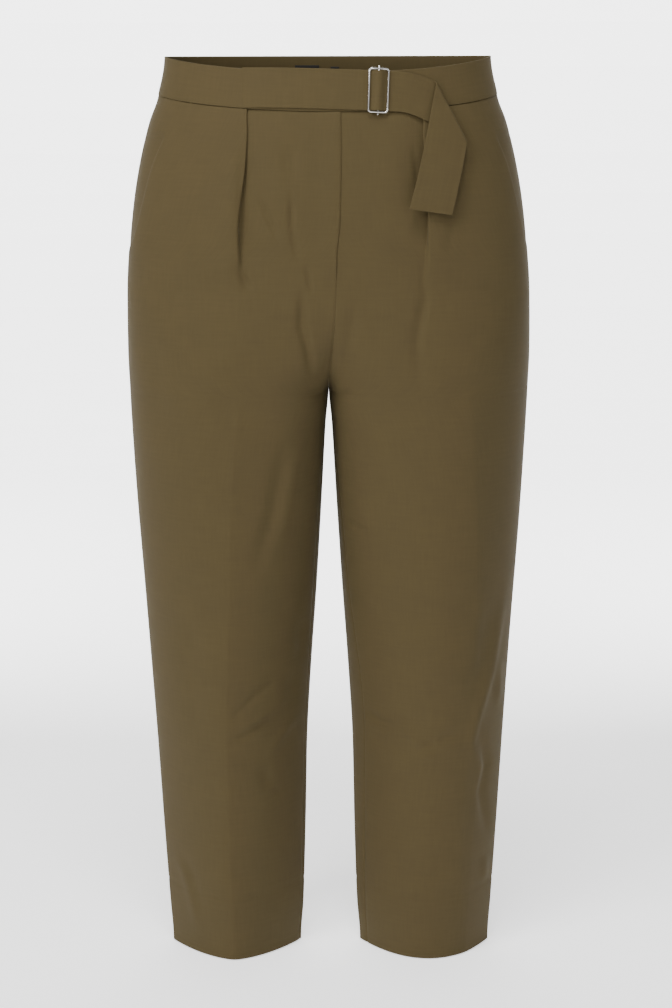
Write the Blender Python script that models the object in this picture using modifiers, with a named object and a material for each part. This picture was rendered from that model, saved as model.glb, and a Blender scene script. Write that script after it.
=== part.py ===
"""Belted pleated trousers, filled out as if worn, with nobody in them.

Every cut piece of cloth is its own closed wall. All the pieces are read from one surface, which goes
round each leg by an angle and down it by a height, so neighbours share their seams. The origin is the
middle of the waist opening, level with the top edge at the side seams. +Z is up, the front faces -Y,
and the wearer's left is at +X.
"""

import math
from collections import namedtuple

import bpy
import numpy as np
from mathutils import Matrix, Vector

# ---- Driving sizes, in metres -------------------------------------------------------------------

CLOTH = 0.0011            # thickness of a single panel's wall
SEAM_GAP = 0.0003         # clear space between two pieces where they meet
LAYER_GAP = 0.0005        # clear space between the layers of a folded pleat

LENGTH = 0.980            # top edge at the side seam, down to the hem
CROTCH_Z = -0.343
CROTCH_HEIGHT = 0.110     # height over which the two legs grow together
CROTCH_POWERS = (1.4, 1.3)  # how gently they do so, at the crotch and at the top

BAND_HEIGHT = 0.0385      # waistband, top edge to seam
BAND_WALL = 0.0022        # waistband: two layers and a stiffening
BAND_PROUD = 0.0008       # how far the waistband stands out from the panels
FRONT_DIP = 0.0155        # the front waist is cut lower than the back
DIP_FADE = 0.080          # below the seam, the dip dies out over this height

FLY_BOTTOM_Z = -0.203
FLY_LAP = 0.003           # the right front's edge lies this far over the left front
FLY_FADE = 0.025          # the lapping edge sinks back into its panel over this width
FLY_SHIELD = (-0.020, 0.014)  # side edges, from the centre front
SHIELD_TOP = 0.002        # its top is this far below the waist seam
SHIELD_END = 0.003        # and its end this far above the fly's

POCKET_END_Z = -0.206     # where the pocket's opening reaches the side seam
FACING_UNDER = 0.016      # the facing reaches this far under the front panel
FACING_DEPTH = 0.0024     # and lies this far below the surface there
FACING_LEAST = 0.03       # where less of it than this angle shows, it stays tucked under the panel
FACING_TUCK = 0.12        # and ends at this angle inside the opening's edge

PLEAT_REACH = 0.045       # the panel swells and sinks beside the fold over this width

BELT_WIDTH = 0.0395
BELT_WALL = 0.0012
BELT_START_X = -0.092     # where the belt is sewn on, beside the right pleat
BELT_MIDDLE_Z = -0.0308   # height of its middle line there
BELT_SINK = 0.0060        # how far the middle line sinks from there to the fold
BELT_DROOP = 0.0055       # how much further it droops just before the fold
BELT_DROOP_REACH = 0.029
BELT_FOLD_X = 0.0900      # where the middle line comes level with the fold's top corner
BELT_FOLD_ANGLE = math.radians(-63.5)
BELT_TAIL = 0.1315        # length of the tail along its longer edge
BELT_ROLL = 0.0014        # radius of the fold's roll at its top corner
BELT_ROLL_OPENS = 0.0016  # how much wider it is at its lower corner
TAIL_LIFT = 0.0060        # the tail's end stands this much further out than its fold

BUCKLE_X = 0.041
BUCKLE_SIZE = (0.0210, 0.0445)
BUCKLE_WIRE = 0.0009      # wire radius
BUCKLE_BAR = 0.0008       # centre bar radius
BUCKLE_BAR_LENGTH = 0.0490
BUCKLE_CORNER = 0.0028
WELD_DISTANCE = 0.00002   # closes the wires' filled ends
BUCKLE_LEAN = math.radians(3.0)

LABEL_WALL = 0.0010
LABEL_SPAN = (-0.0355, -0.0095)  # side edges of the label, across the back
LABEL_RISE = (-0.0095, -0.0290)
TAB_SPAN = (0.003, 0.012)
TAB_RISE = (-0.0110, -0.0225)

# ---- Tables: a row for each height ---------------------------------------------------------------

# oval is the share of an oval in a leg's section, against a flatter bow with sharp edges at the seams.
# inner and outer, 2 for an ellipse, are how far the oval's two halves keep their depth to their seams.
Section = namedtuple("Section", "z half_width leg_gap front back oval inner outer")
SECTIONS = [
    #       z       half_width  leg_gap  front   back    oval  inner outer
    Section(0.000,  0.1680,     0.0,     0.084,  0.080,  1.00, 2.0,  2.00),
    Section(-0.043, 0.1765,     0.0,     0.088,  0.087,  1.00, 2.0,  2.05),
    Section(-0.065, 0.1850,     0.0,     0.091,  0.092,  1.00, 2.0,  2.15),
    Section(-0.106, 0.1960,     0.0,     0.095,  0.099,  1.00, 2.0,  2.35),
    Section(-0.148, 0.2036,     0.0,     0.097,  0.104,  1.00, 2.0,  2.55),
    Section(-0.190, 0.2085,     0.0,     0.098,  0.107,  1.00, 2.0,  2.65),
    Section(-0.240, 0.2122,     0.0,     0.099,  0.109,  1.00, 2.2,  2.55),
    Section(-0.306, 0.2133,     0.0,     0.098,  0.109,  1.00, 2.9,  2.15),
    Section(-0.343, 0.2123,     0.0,     0.096,  0.107,  1.00, 3.2,  2.00),
    Section(-0.382, 0.2110,     0.0032,  0.094,  0.104,  0.93, 3.0,  2.00),
    Section(-0.470, 0.2070,     0.0081,  0.089,  0.098,  0.80, 2.6,  2.00),
    Section(-0.560, 0.2017,     0.0137,  0.084,  0.090,  0.65, 2.3,  2.00),
    Section(-0.650, 0.1964,     0.0199,  0.079,  0.083,  0.52, 2.1,  2.00),
    Section(-0.740, 0.1915,     0.0250,  0.073,  0.076,  0.40, 2.0,  2.00),
    Section(-0.840, 0.1865,     0.0275,  0.066,  0.068,  0.30, 2.0,  2.00),
    Section(-0.930, 0.1817,     0.0303,  0.060,  0.061,  0.15, 2.0,  2.00),
    Section(-0.980, 0.1790,     0.0336,  0.057,  0.057,  0.08, 2.0,  2.00),
]

# How far the centre front stands to +X of the middle, for the garment hangs a little turned.
CentreFront = namedtuple("CentreFront", "z shift")
CENTRE_FRONT = [
    CentreFront(-0.030, 0.0100),
    CentreFront(-0.100, 0.0105),
    CentreFront(-0.150, 0.0095),
    CentreFront(-0.200, 0.0085),
    CentreFront(-0.240, 0.0075),
    CentreFront(-0.300, 0.0045),
    CentreFront(-0.343, 0.0000),
]

# The line of the pleat and of the pressed crease below it, and the inseam's turn to the front.
LegLine = namedtuple("LegLine", "z fold_x crease inseam_turn")
LEG_LINES = {
    "right": [
        #       z       fold_x  crease  inseam_turn
        LegLine(-0.040, 0.0860, 0.00,   0.00),
        LegLine(-0.110, 0.0920, 0.00,   0.00),
        LegLine(-0.174, 0.0985, 0.00,   0.00),
        LegLine(-0.343, 0.0935, 0.02,   0.00),
        LegLine(-0.450, 0.1015, 0.05,   0.20),
        LegLine(-0.550, 0.1040, 0.08,   0.25),
        LegLine(-0.700, 0.1150, 0.12,   0.25),
        LegLine(-0.840, 0.1150, 0.18,   0.25),
        LegLine(-0.980, 0.1065, 0.33,   0.22),
    ],
    "left": [
        LegLine(-0.040, 0.0850, 0.00,   0.00),
        LegLine(-0.174, 0.0930, 0.00,   0.00),
        LegLine(-0.290, 0.0970, 0.00,   0.00),
        LegLine(-0.343, 0.1150, 0.02,   0.00),
        LegLine(-0.450, 0.1520, 0.05,   0.28),
        LegLine(-0.550, 0.1610, 0.07,   0.38),
        LegLine(-0.700, 0.1660, 0.09,   0.58),
        LegLine(-0.840, 0.1560, 0.10,   0.53),
        LegLine(-0.980, 0.1500, 0.10,   0.47),
    ],
}

# The pleat: how far its cloth turns back (half a turn when folded flat), how wide its hidden middle
# layer is, and what share of its height stands proud on the side towards the pocket.
Pleat = namedtuple("Pleat", "z turn under proud")
PLEAT = [
    Pleat(-0.040, 180.0, 0.020, 0.12),
    Pleat(-0.085, 180.0, 0.012, 0.20),
    Pleat(-0.115, 165.0, 0.006, 0.35),
    Pleat(-0.145, 125.0, 0.003, 0.55),
    Pleat(-0.175, 90.0,  0.003, 0.60),
    Pleat(-0.205, 50.0,  0.003, 0.60),
    Pleat(-0.240, 0.0,   0.003, 0.50),
]

# The pocket's opening edge, as an angle round the front from the leg's front line.
PocketEdge = namedtuple("PocketEdge", "z angle")
POCKET_EDGE = [
    PocketEdge(-0.040, 1.05),
    PocketEdge(-0.076, 1.11),
    PocketEdge(-0.113, 1.20),
    PocketEdge(-0.148, 1.26),
    PocketEdge(-0.182, 1.36),
    PocketEdge(-0.206, math.pi / 2),
]

# Stretches of rows down a panel: the height each one ends at, and how many rows it has.
RowSpan = namedtuple("RowSpan", "end_z rows")
ROW_SPANS = [
    RowSpan(FLY_BOTTOM_Z, 11),
    RowSpan(-0.300, 4),
    RowSpan(CROTCH_Z, 4),
    RowSpan(-0.410, 3),
    RowSpan(-LENGTH, 10),
]

SIDES = {"right": -1, "left": 1}


# ---- The surface ---------------------------------------------------------------------------------

def smoothstep(value):
    """Ease from 0 to 1 as the value goes from 0 to 1."""
    value = min(max(value, 0.0), 1.0)
    return value * value * (3.0 - 2.0 * value)


class Curve:
    """A smooth curve with no overshoot through one named column of a table."""

    def __init__(self, table, column):
        rows = sorted(table, key=lambda row: row.z)
        self.x = [row.z for row in rows]
        self.y = [getattr(row, column) for row in rows]
        steps = [b - a for a, b in zip(self.x, self.x[1:])]
        rises = [(b - a) / step for a, b, step in zip(self.y, self.y[1:], steps)]
        self.slope = [0.0] * len(self.x)
        for i in range(1, len(self.x) - 1):
            before, after = rises[i - 1], rises[i]
            if before * after > 0.0:
                self.slope[i] = 2.0 * before * after / (before + after)

    def __call__(self, x):
        if x <= self.x[0]:
            return self.y[0]
        if x >= self.x[-1]:
            return self.y[-1]
        i = max(k for k in range(len(self.x) - 1) if self.x[k] <= x)
        step = self.x[i + 1] - self.x[i]
        t = (x - self.x[i]) / step
        start = self.y[i] * (1 + 2 * t) * (1 - t) ** 2 + self.slope[i] * step * t * (1 - t) ** 2
        end = self.y[i + 1] * t * t * (3 - 2 * t) + self.slope[i + 1] * step * t * t * (t - 1)
        return start + end


def curves_of(table):
    """One smooth curve for each column of a table, by name."""
    return {name: Curve(table, name) for name in table[0]._fields if name != "z"}


BODY = curves_of(SECTIONS)
FRONT_SHIFT = Curve(CENTRE_FRONT, "shift")
LEG = {side: curves_of(table) for side, table in LEG_LINES.items()}
FOLD = curves_of(PLEAT)
OPENING = Curve(POCKET_EDGE, "angle")

HALF_TURN = math.pi / 2
FINE = 0.03               # angle step for measuring the surface's slope
FINE_Z = 0.002            # height step for the same
TINY = 1e-6               # for telling two rows' heights apart
FLAT_TURN = 0.01          # a pleat turned back by less than this angle counts as flat


def leg_section(z):
    """Centre and half-width of one leg's section; above the crotch it reaches past the middle."""
    outer = BODY["half_width"](z)
    if z >= CROTCH_Z:
        rise = min((z - CROTCH_Z) / CROTCH_HEIGHT, 1.0)
        lobe = (1.0 - rise ** CROTCH_POWERS[0]) ** CROTCH_POWERS[1]
        inner = -outer * (1.0 - lobe) / (1.0 + lobe)
    else:
        inner = BODY["leg_gap"](z)
    return (outer + inner) / 2, (outer - inner) / 2


def tent(u, ridge, softness=0.08):
    """A soft-tipped ridge: 1 at the ridge, 0 at both edges, for u from -1 to 1."""
    reach = 1.0 - ridge if u > ridge else 1.0 + ridge
    v = (u - ridge) / reach
    return 1.0 - (math.hypot(v, softness) - softness) / (math.hypot(1.0, softness) - softness)


def surface(side, angle, z):
    """Point on the outside of the garment.

    The angle goes round a leg: -90 degrees is the inseam, 0 the front, 90 the side seam, 180 the back.
    """
    centre, half = leg_section(z)
    across, ahead = math.sin(angle), math.cos(angle)
    crease = LEG[side]["crease"](z)
    oval = BODY["oval"](z)
    at_front = ahead >= 0.0
    ridge = (LEG[side]["fold_x"](z) - centre) / half if at_front else 0.0
    square = BODY["inner" if across < 0.0 else "outer"](z)
    rounded = (1.0 - abs(across) ** square) ** (1.0 / square)
    bow = oval * rounded + (1.0 - oval - crease) * ahead * ahead
    if crease > 0.0:
        bow += crease * tent(across, ridge)
    depth = -BODY["front"](z) if at_front else BODY["back"](z)
    x = SIDES[side] * (centre + half * across)
    if at_front:
        x += FRONT_SHIFT(z) * bow * bow
    return Vector((x, depth * bow, z))


def around(side, angle, z):
    """Tangent round the leg, averaged across a crease or a seam."""
    step = surface(side, angle + FINE, z) - surface(side, angle - FINE, z)
    return step.normalized()


def outward(side, angle, z):
    """Outward normal of the garment's surface."""
    down = surface(side, angle, z - FINE_Z) - surface(side, angle, z + FINE_Z)
    normal = around(side, angle, z).cross(down) * SIDES[side]
    return -normal.normalized()


def lifted(side, angle, z, height):
    """Point at a height above the garment's surface, or below it if negative."""
    return surface(side, angle, z) + outward(side, angle, z) * height


def metric(side, angle, z):
    """Metres round the leg for each radian."""
    step = surface(side, angle + FINE, z) - surface(side, angle - FINE, z)
    return step.length / (2 * FINE)


def angle_at(z, x):
    """Angle on the front at a distance x from the garment's middle."""
    centre, half = leg_section(z)
    return math.asin(max(-1.0, min(1.0, (x - centre) / half)))


def dip(angle):
    """How far the front of the waist is cut below its sides, at an angle round the garment."""
    return FRONT_DIP * max(math.cos(angle), 0.0) ** 1.5


def row_heights():
    """Nominal heights of a panel's rows, from the waist seam to the hem."""
    heights = [-BAND_HEIGHT]
    for span in ROW_SPANS:
        start = heights[-1]
        heights += [start + (span.end_z - start) * (i + 1) / span.rows for i in range(span.rows)]
    return heights


def dropped(z, angle):
    """A nominal row's real height: rows near the waist follow the dip of its seam."""
    fade = 1.0 - smoothstep((-BAND_HEIGHT - z) / DIP_FADE)
    return z - dip(angle) * fade


# ---- Meshes --------------------------------------------------------------------------------------

def clear_scene():
    """Remove whatever the file holds."""
    for item in list(bpy.data.objects):
        bpy.data.objects.remove(item, do_unlink=True)


def new_material(name, color, roughness, metallic=0.0):
    """A Principled material for one piece."""
    material = bpy.data.materials.new(name)
    material.use_nodes = True
    shader = material.node_tree.nodes["Principled BSDF"]
    shader.inputs["Base Color"].default_value = (*color, 1.0)
    shader.inputs["Roughness"].default_value = roughness
    shader.inputs["Metallic"].default_value = metallic
    return material


def new_object(name, points, faces, collection, finish):
    """An object from points and faces, with its own material."""
    mesh = bpy.data.meshes.new(name)
    mesh.from_pydata([tuple(point) for point in points], [], faces)
    mesh.validate()
    item = bpy.data.objects.new(name, mesh)
    collection.objects.link(item)
    mesh.materials.append(new_material(name, *finish))
    return item


def signed_volume(points, triangles):
    """Volume inside triangles, negative where they face inwards."""
    return sum(points[a].dot(points[b].cross(points[c])) for a, b, c in triangles) / 6.0


def split_quads(points, quads):
    """Two triangles for each quad, cut across its shorter diagonal."""
    triangles = []
    for a, b, c, d in quads:
        if (points[a] - points[c]).length <= (points[b] - points[d]).length:
            triangles += [(a, b, c), (a, c, d)]
        else:
            triangles += [(a, b, d), (b, c, d)]
    return triangles


def grid_faces(rows, columns, start=0):
    """Quads of a grid of points stored row by row."""
    quads = []
    for r in range(rows - 1):
        for c in range(columns - 1):
            corner = start + r * columns + c
            quads.append((corner, corner + 1, corner + 1 + columns, corner + columns))
    return quads


def cloth_wall(name, outer, inner, collection, finish):
    """A closed wall between an outer and an inner grid, mitred where its neighbour's is."""
    rows, columns = len(outer), len(outer[0])
    points = [p for row in outer for p in row] + [p for row in inner for p in row]
    count = rows * columns
    faces = grid_faces(rows, columns)
    faces += [tuple(reversed(face)) for face in grid_faces(rows, columns, count)]
    rim = [c for c in range(columns)]
    rim += [r * columns + columns - 1 for r in range(1, rows)]
    rim += [(rows - 1) * columns + c for c in range(columns - 2, -1, -1)]
    rim += [r * columns for r in range(rows - 2, 0, -1)]
    for a, b in zip(rim, rim[1:] + rim[:1]):
        faces.append((b, a, a + count, b + count))
    triangles = split_quads(points, faces)
    if signed_volume(points, triangles) < 0.0:
        triangles = [tuple(reversed(triangle)) for triangle in triangles]
    return new_object(name, points, triangles, collection, finish)


def cloth_strip(name, middle, wall, collection, finish):
    """A loose strip of cloth: an open grid through its middle, with Solidify for its wall."""
    rows, columns = len(middle), len(middle[0])
    points = [p for row in middle for p in row]
    item = new_object(name, points, grid_faces(rows, columns), collection, finish)
    solidify = item.modifiers.new("wall", "SOLIDIFY")
    solidify.thickness = wall
    solidify.offset = 0.0
    solidify.use_even_offset = True
    return item


# ---- Panels --------------------------------------------------------------------------------------

def pleat_path(z):
    """Section of the pleat, from the cloth that runs under it to the cloth that lies on top.

    Each point is a distance round the leg from the top layer's start, a height above the surface,
    and the direction of the cloth there. The turns keep their length as they open out.
    """
    turn = math.radians(FOLD["turn"](z))
    arc = math.pi * (CLOTH + LAYER_GAP) / 2
    thirds = 3
    chord = arc / thirds
    if turn > FLAT_TURN:
        chord = 2.0 * (arc / turn) * math.sin(turn / (2 * thirds))
    directions = [turn * (i + 0.5) / thirds for i in range(thirds)]
    segments = [(chord, d) for d in directions]
    segments.append((FOLD["under"](z), turn))
    segments += [(chord, d) for d in reversed(directions)]
    tangents = [turn * i / thirds for i in range(thirds + 1)]
    tangents += list(reversed(tangents))
    along, height = [0.0], [0.0]
    for length, direction in segments:
        along.append(along[-1] + length * math.cos(direction))
        height.append(height[-1] + length * math.sin(direction))
    proud = FOLD["proud"](z) * height[-1]
    return [(s - along[-1], h - height[-1] + proud, d) for s, h, d in zip(along, height, tangents)]


def swell(distance, height):
    """Height of the panel beside the pleat, easing back to the surface."""
    return height * (1.0 - smoothstep(distance / PLEAT_REACH))


def fly_lift(z):
    """How high the right front's edge stands over the left at a height, easing off below the fly."""
    return (CLOTH + SEAM_GAP) * smoothstep((z - FLY_BOTTOM_Z) / FLY_FADE + 1.0)


def front_row(side, nominal):
    """One row of a front panel: pairs of (angle, height) for the outer and the inner face."""
    z = nominal
    above = z >= CROTCH_Z
    lap = FLY_LAP if side == "right" and z > FLY_BOTTOM_Z + TINY else 0.0
    lift = fly_lift(z) if side == "right" else 0.0
    start = angle_at(z, -lap) if above else -HALF_TURN + LEG[side]["inseam_turn"](z)
    end = min(OPENING(z), HALF_TURN) if z > POCKET_END_Z else HALF_TURN
    path = pleat_path(z)
    top_start = angle_at(z, LEG[side]["fold_x"](z))
    scale = metric(side, top_start, z)
    top_start += (CLOTH + LAYER_GAP) / scale
    under_end = top_start + path[0][0] / scale
    row = []
    inner_columns = 5
    for i in range(inner_columns):
        angle = start + (under_end - start) * i / inner_columns
        height = swell((under_end - angle) * scale, path[0][1])
        height += lift * (1 - smoothstep((angle - start) * scale / FLY_FADE))
        row.append(((angle, height), (angle, height - CLOTH)))
    half = CLOTH / 2
    for s, h, direction in path:
        sideways, upright = half * math.sin(direction), half * math.cos(direction)
        outer = (top_start + (s - sideways) / scale, h - half + upright)
        inner = (top_start + (s + sideways) / scale, h - half - upright)
        row.append((outer, inner))
    outer_columns = 5
    for i in range(1, outer_columns + 1):
        angle = top_start + (end - top_start) * i / outer_columns
        height = swell((angle - top_start) * scale, path[-1][1])
        row.append(((angle, height), (angle, height - CLOTH)))
    return row


def back_row(side, nominal, columns=8):
    """One row of a back panel, from the side seam to the centre back or the inseam."""
    centre, half = leg_section(nominal)
    if nominal >= CROTCH_Z:
        end = math.pi + math.asin(min(centre / half, 1.0))
    else:
        end = 3 * HALF_TURN + LEG[side]["inseam_turn"](nominal)
    row = []
    for i in range(columns + 1):
        angle = HALF_TURN + (end - HALF_TURN) * i / columns
        row.append(((angle, 0.0), (angle, -CLOTH)))
    return row


def crotch_normal(side, z, at_front):
    """Normal of the seam that runs over the crotch, in the plane between the legs."""
    def seam_y(height):
        centre, half = leg_section(height)
        angle = -math.asin(min(centre / half, 1.0))
        if not at_front:
            angle = math.pi - angle
        return surface(side, angle, height).y
    low = max(z - FINE_Z, CROTCH_Z)
    high = z + FINE_Z
    if z <= CROTCH_Z + TINY:
        return Vector((0.0, 0.0, -1.0))
    lean = (seam_y(low) - seam_y(high)) / (high - low)
    facing = -1.0 if at_front else 1.0
    return Vector((0.0, facing, facing * lean)).normalized()


def panel_points(side, nominal, row, at_front):
    """Outer and inner points of one row, its edges drawn in to leave the seams' gap."""
    outer, inner = [], []
    for (angle_o, height_o), (angle_i, height_i) in row:
        z_o, z_i = dropped(nominal, angle_o), dropped(nominal, angle_i)
        outer.append(lifted(side, angle_o, z_o, height_o))
        inner.append(lifted(side, angle_i, z_i, height_i))
    half_gap = SEAM_GAP / 2
    centre_index = 0 if at_front else len(row) - 1
    side_index = len(row) - 1 if at_front else 0
    laps = at_front and side == "right" and nominal > FLY_BOTTOM_Z + TINY
    if nominal >= CROTCH_Z - TINY:
        if not laps:
            angle = row[centre_index][0][0]
            height = row[centre_index][0][1]
            z = dropped(nominal, angle)
            edge = surface(side, angle, z)
            normal = crotch_normal(side, z, at_front)
            edge += normal * height
            edge.x += SIDES[side] * half_gap
            if nominal <= CROTCH_Z + TINY:
                edge.y += -half_gap if at_front else half_gap
            outer[centre_index] = edge
            inner[centre_index] = edge - normal * CLOTH
    else:
        pull = around(side, row[centre_index][0][0], nominal) * half_gap
        pull = pull if at_front else -pull
        outer[centre_index] += pull
        inner[centre_index] += pull
    if not at_front or nominal <= POCKET_END_Z + TINY:
        pull = around(side, HALF_TURN, dropped(nominal, HALF_TURN)) * half_gap
        pull = -pull if at_front else pull
        outer[side_index] += pull
        inner[side_index] += pull
    return outer, inner


def leg_panel(name, side, at_front, collection, finish):
    """A whole front or back panel, from the waist seam to the hem."""
    outer, inner = [], []
    for i, nominal in enumerate(row_heights()):
        row = front_row(side, nominal) if at_front else back_row(side, nominal)
        row_outer, row_inner = panel_points(side, nominal, row, at_front)
        if i == 0:
            for point in row_outer + row_inner:
                point.z -= SEAM_GAP
        outer.append(row_outer)
        inner.append(row_inner)
    return cloth_wall(name, outer, inner, collection, finish)


def pocket_facing(name, side, collection, finish):
    """The cloth behind a pocket's opening, from under the front panel to the side seam."""
    tucked = -FACING_DEPTH
    outer, inner = [], []
    for nominal in row_heights():
        if nominal < POCKET_END_Z:
            break
        edge = OPENING(nominal)
        under = edge - FACING_UNDER / metric(side, edge, nominal)
        if HALF_TURN - edge > FACING_LEAST:
            last = HALF_TURN
            angles = [under, edge, (edge + last) / 2, last]
            heights = [tucked, tucked, tucked / 2, 0.0]
        else:
            last = edge - FACING_TUCK
            angles = [under + (last - under) * i / 3 for i in range(4)]
            heights = [tucked] * 4
        row_outer, row_inner = [], []
        for angle, height in zip(angles, heights):
            z = dropped(nominal, angle)
            row_outer.append(lifted(side, angle, z, height))
            row_inner.append(lifted(side, angle, z, height - CLOTH))
        pull = around(side, last, nominal) * (SEAM_GAP / 2)
        row_outer[-1] -= pull
        row_inner[-1] -= pull
        if not outer:
            for point in row_outer + row_inner:
                point.z -= SEAM_GAP
        outer.append(row_outer)
        inner.append(row_inner)
    return cloth_wall(name, outer, inner, collection, finish)


# ---- Waistband -----------------------------------------------------------------------------------

def band_piece(name, stations, collection, finish):
    """A stretch of the waistband through stations of side, angle and seam gap."""
    outer, inner = [], []
    for share in (0.0, 0.5, 1.0):
        row_outer, row_inner = [], []
        for side, angle, pull in stations:
            z = -dip(angle) - BAND_HEIGHT * share
            shift = around(side, angle, z) * pull
            row_outer.append(lifted(side, angle, z, BAND_PROUD) + shift)
            row_inner.append(lifted(side, angle, z, BAND_PROUD - BAND_WALL) + shift)
        outer.append(row_outer)
        inner.append(row_inner)
    return cloth_wall(name, outer, inner, collection, finish)


def front_band(name, side, collection, finish, columns=9):
    """Half of the front waistband; both halves stop at the centre front, hidden by the belt."""
    stations = []
    for i in range(columns + 1):
        angle = HALF_TURN * i / columns
        pull = 0.0
        if i == 0:
            pull = SEAM_GAP / 2
        if i == columns:
            pull = -SEAM_GAP / 2
        stations.append((side, angle, pull))
    return band_piece(name, stations, collection, finish)


def back_band(name, collection, finish, columns=9):
    """The back waistband, from side seam to side seam."""
    stations = []
    for i in range(columns + 1):
        angle = HALF_TURN + HALF_TURN * i / columns
        stations.append(("right", angle, SEAM_GAP / 2 if i == 0 else 0.0))
    for i in range(columns - 1, -1, -1):
        angle = HALF_TURN + HALF_TURN * i / columns
        stations.append(("left", angle, SEAM_GAP / 2 if i == 0 else 0.0))
    return band_piece(name, stations, collection, finish)


# ---- Belt and buckle -----------------------------------------------------------------------------

BELT_LEVEL_Z = -0.030     # height at which the belt's length is measured round the waist
BELT_REST = BAND_PROUD + SEAM_GAP + BELT_WALL / 2      # middle of the belt, lying on the band
BUCKLE_PLANE = BELT_REST + BELT_WALL / 2 + SEAM_GAP + BUCKLE_WIRE
BELT_OVER_BAR = BUCKLE_PLANE + BUCKLE_BAR + SEAM_GAP + BELT_WALL / 2
BELT_RISE_HALF = BUCKLE_SIZE[0] / 2 - 2 * BUCKLE_WIRE - SEAM_GAP


def side_of(x):
    """Which leg's surface a distance across lies on, and how far out it is."""
    return ("left", x) if x >= 0.0 else ("right", -x)


def front_point(x, z, height):
    """Point over the garment's front, at a distance across it."""
    side, distance = side_of(x)
    return lifted(side, angle_at(z, distance), z, height)


def arc_table(limit=0.150, steps=120):
    """Distances round the waist at each distance across it."""
    xs = np.linspace(-limit, limit, 2 * steps + 1)
    points = [front_point(x, BELT_LEVEL_Z, 0.0) for x in xs]
    arcs = np.cumsum([0.0] + [(b - a).length for a, b in zip(points, points[1:])])
    return xs, arcs - np.interp(0.0, xs, arcs)


class BeltRoute:
    """The belt's way: flat along the waistband, through the buckle, then folded down over itself."""

    def __init__(self):
        self.xs, self.arcs = arc_table()
        self.start = self.arc(BELT_START_X)
        self.bar = self.arc(BUCKLE_X) - self.start
        self.to_corner = self.arc(BELT_FOLD_X) - self.start
        self.length = self.to_corner + BELT_TAIL
        self.corner, lean = self.flat_point(self.to_corner, BELT_WIDTH / 2)
        self.turn = lean - BELT_FOLD_ANGLE

    def arc(self, x):
        """Distance round the waist, for a distance across it."""
        return float(np.interp(x, self.xs, self.arcs))

    def across(self, arc):
        """Distance across, for a distance round the waist."""
        return float(np.interp(arc, self.arcs, self.xs))

    def flat_point(self, along, across):
        """Place round and down the waist of a point of the belt before it is folded, and its lean."""
        before = min(along, self.to_corner)
        share = before / self.to_corner
        droop = max(1.0 - (self.to_corner - before) / BELT_DROOP_REACH, 0.0)
        slope = -2.0 * BELT_SINK * share / self.to_corner - 2.0 * BELT_DROOP * droop / BELT_DROOP_REACH
        lean = math.atan(slope)
        beyond = along - before
        arc = self.start + before + beyond * math.cos(lean) - across * math.sin(lean)
        z = BELT_MIDDLE_Z - BELT_SINK * share ** 2 - BELT_DROOP * droop ** 2
        z += beyond * math.sin(lean) + across * math.cos(lean)
        return (arc, z), lean

    def height(self, along):
        """Height of the belt over the garment: it rises over the buckle's centre bar."""
        from_bar = abs(along - self.bar) / BELT_RISE_HALF
        rise = 0.5 + 0.5 * math.cos(math.pi * min(from_bar, 1.0))
        return BELT_REST + (BELT_OVER_BAR - BELT_REST) * rise

    def radius(self, across):
        """Radius of the fold's roll: it opens out towards the fold's lower corner."""
        return BELT_ROLL + BELT_ROLL_OPENS * (0.5 - across / BELT_WIDTH)

    def to_fold(self, across):
        """Distance along the belt to the fold line."""
        return self.to_corner + (BELT_WIDTH / 2 - across) / math.tan(self.turn)

    def point(self, along, across):
        """Point on the belt's middle, along and across its cloth."""
        (arc, z), _ = self.flat_point(along, across)
        height = self.height(along)
        line = (math.cos(BELT_FOLD_ANGLE), math.sin(BELT_FOLD_ANGLE))
        beyond = (-line[1], line[0])
        offset = (arc - self.corner[0], z - self.corner[1])
        down_line = offset[0] * line[0] + offset[1] * line[1]
        past = offset[0] * beyond[0] + offset[1] * beyond[1]
        radius = self.radius(across)
        if past > 0.0:
            turned = min(past / radius, math.pi)
            beyond_roll = max(past - math.pi * radius, 0.0)
            past = radius * math.sin(turned) - beyond_roll
            height += radius * (1.0 - math.cos(turned))
            height += TAIL_LIFT * min(beyond_roll / BELT_TAIL, 1.0)
        arc = self.corner[0] + down_line * line[0] + past * beyond[0]
        z = self.corner[1] + down_line * line[1] + past * beyond[1]
        return front_point(self.across(arc), z, height)


def belt_row(route, across):
    """Distances along the belt in one lane: square at both ends, and slanted with the fold line."""
    square = route.bar + BELT_RISE_HALF
    fold = route.to_fold(across)
    rolled = fold + math.pi * route.radius(across) / math.sin(route.turn)
    spans = [(route.bar - BELT_RISE_HALF, 9), (square, 8), (fold, 8), (rolled, 8), (route.length, 9)]
    stations = [0.0]
    for end, count in spans:
        start = stations[-1]
        stations += [start + (end - start) * (i + 1) / count for i in range(count)]
    return stations


def build_belt(collection, finish):
    """The belt, as one long strip."""
    route = BeltRoute()
    lanes = 5
    strips = []
    for i in range(lanes + 1):
        across = BELT_WIDTH * (i / lanes - 0.5)
        strips.append([route.point(along, across) for along in belt_row(route, across)])
    return cloth_strip("belt", strips, BELT_WALL, collection, finish)


def rounded_frame(width, height, corner, steps=4):
    """Closed outline of a rectangle with round corners, in its own plane."""
    points = []
    for quarter in range(4):
        sx = 1 if quarter in (0, 3) else -1
        sy = 1 if quarter in (0, 1) else -1
        cx, cy = sx * (width / 2 - corner), sy * (height / 2 - corner)
        for i in range(steps + 1):
            turn = HALF_TURN * (quarter + i / steps)
            points.append((cx + corner * math.cos(turn), cy + corner * math.sin(turn)))
    return points


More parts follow.
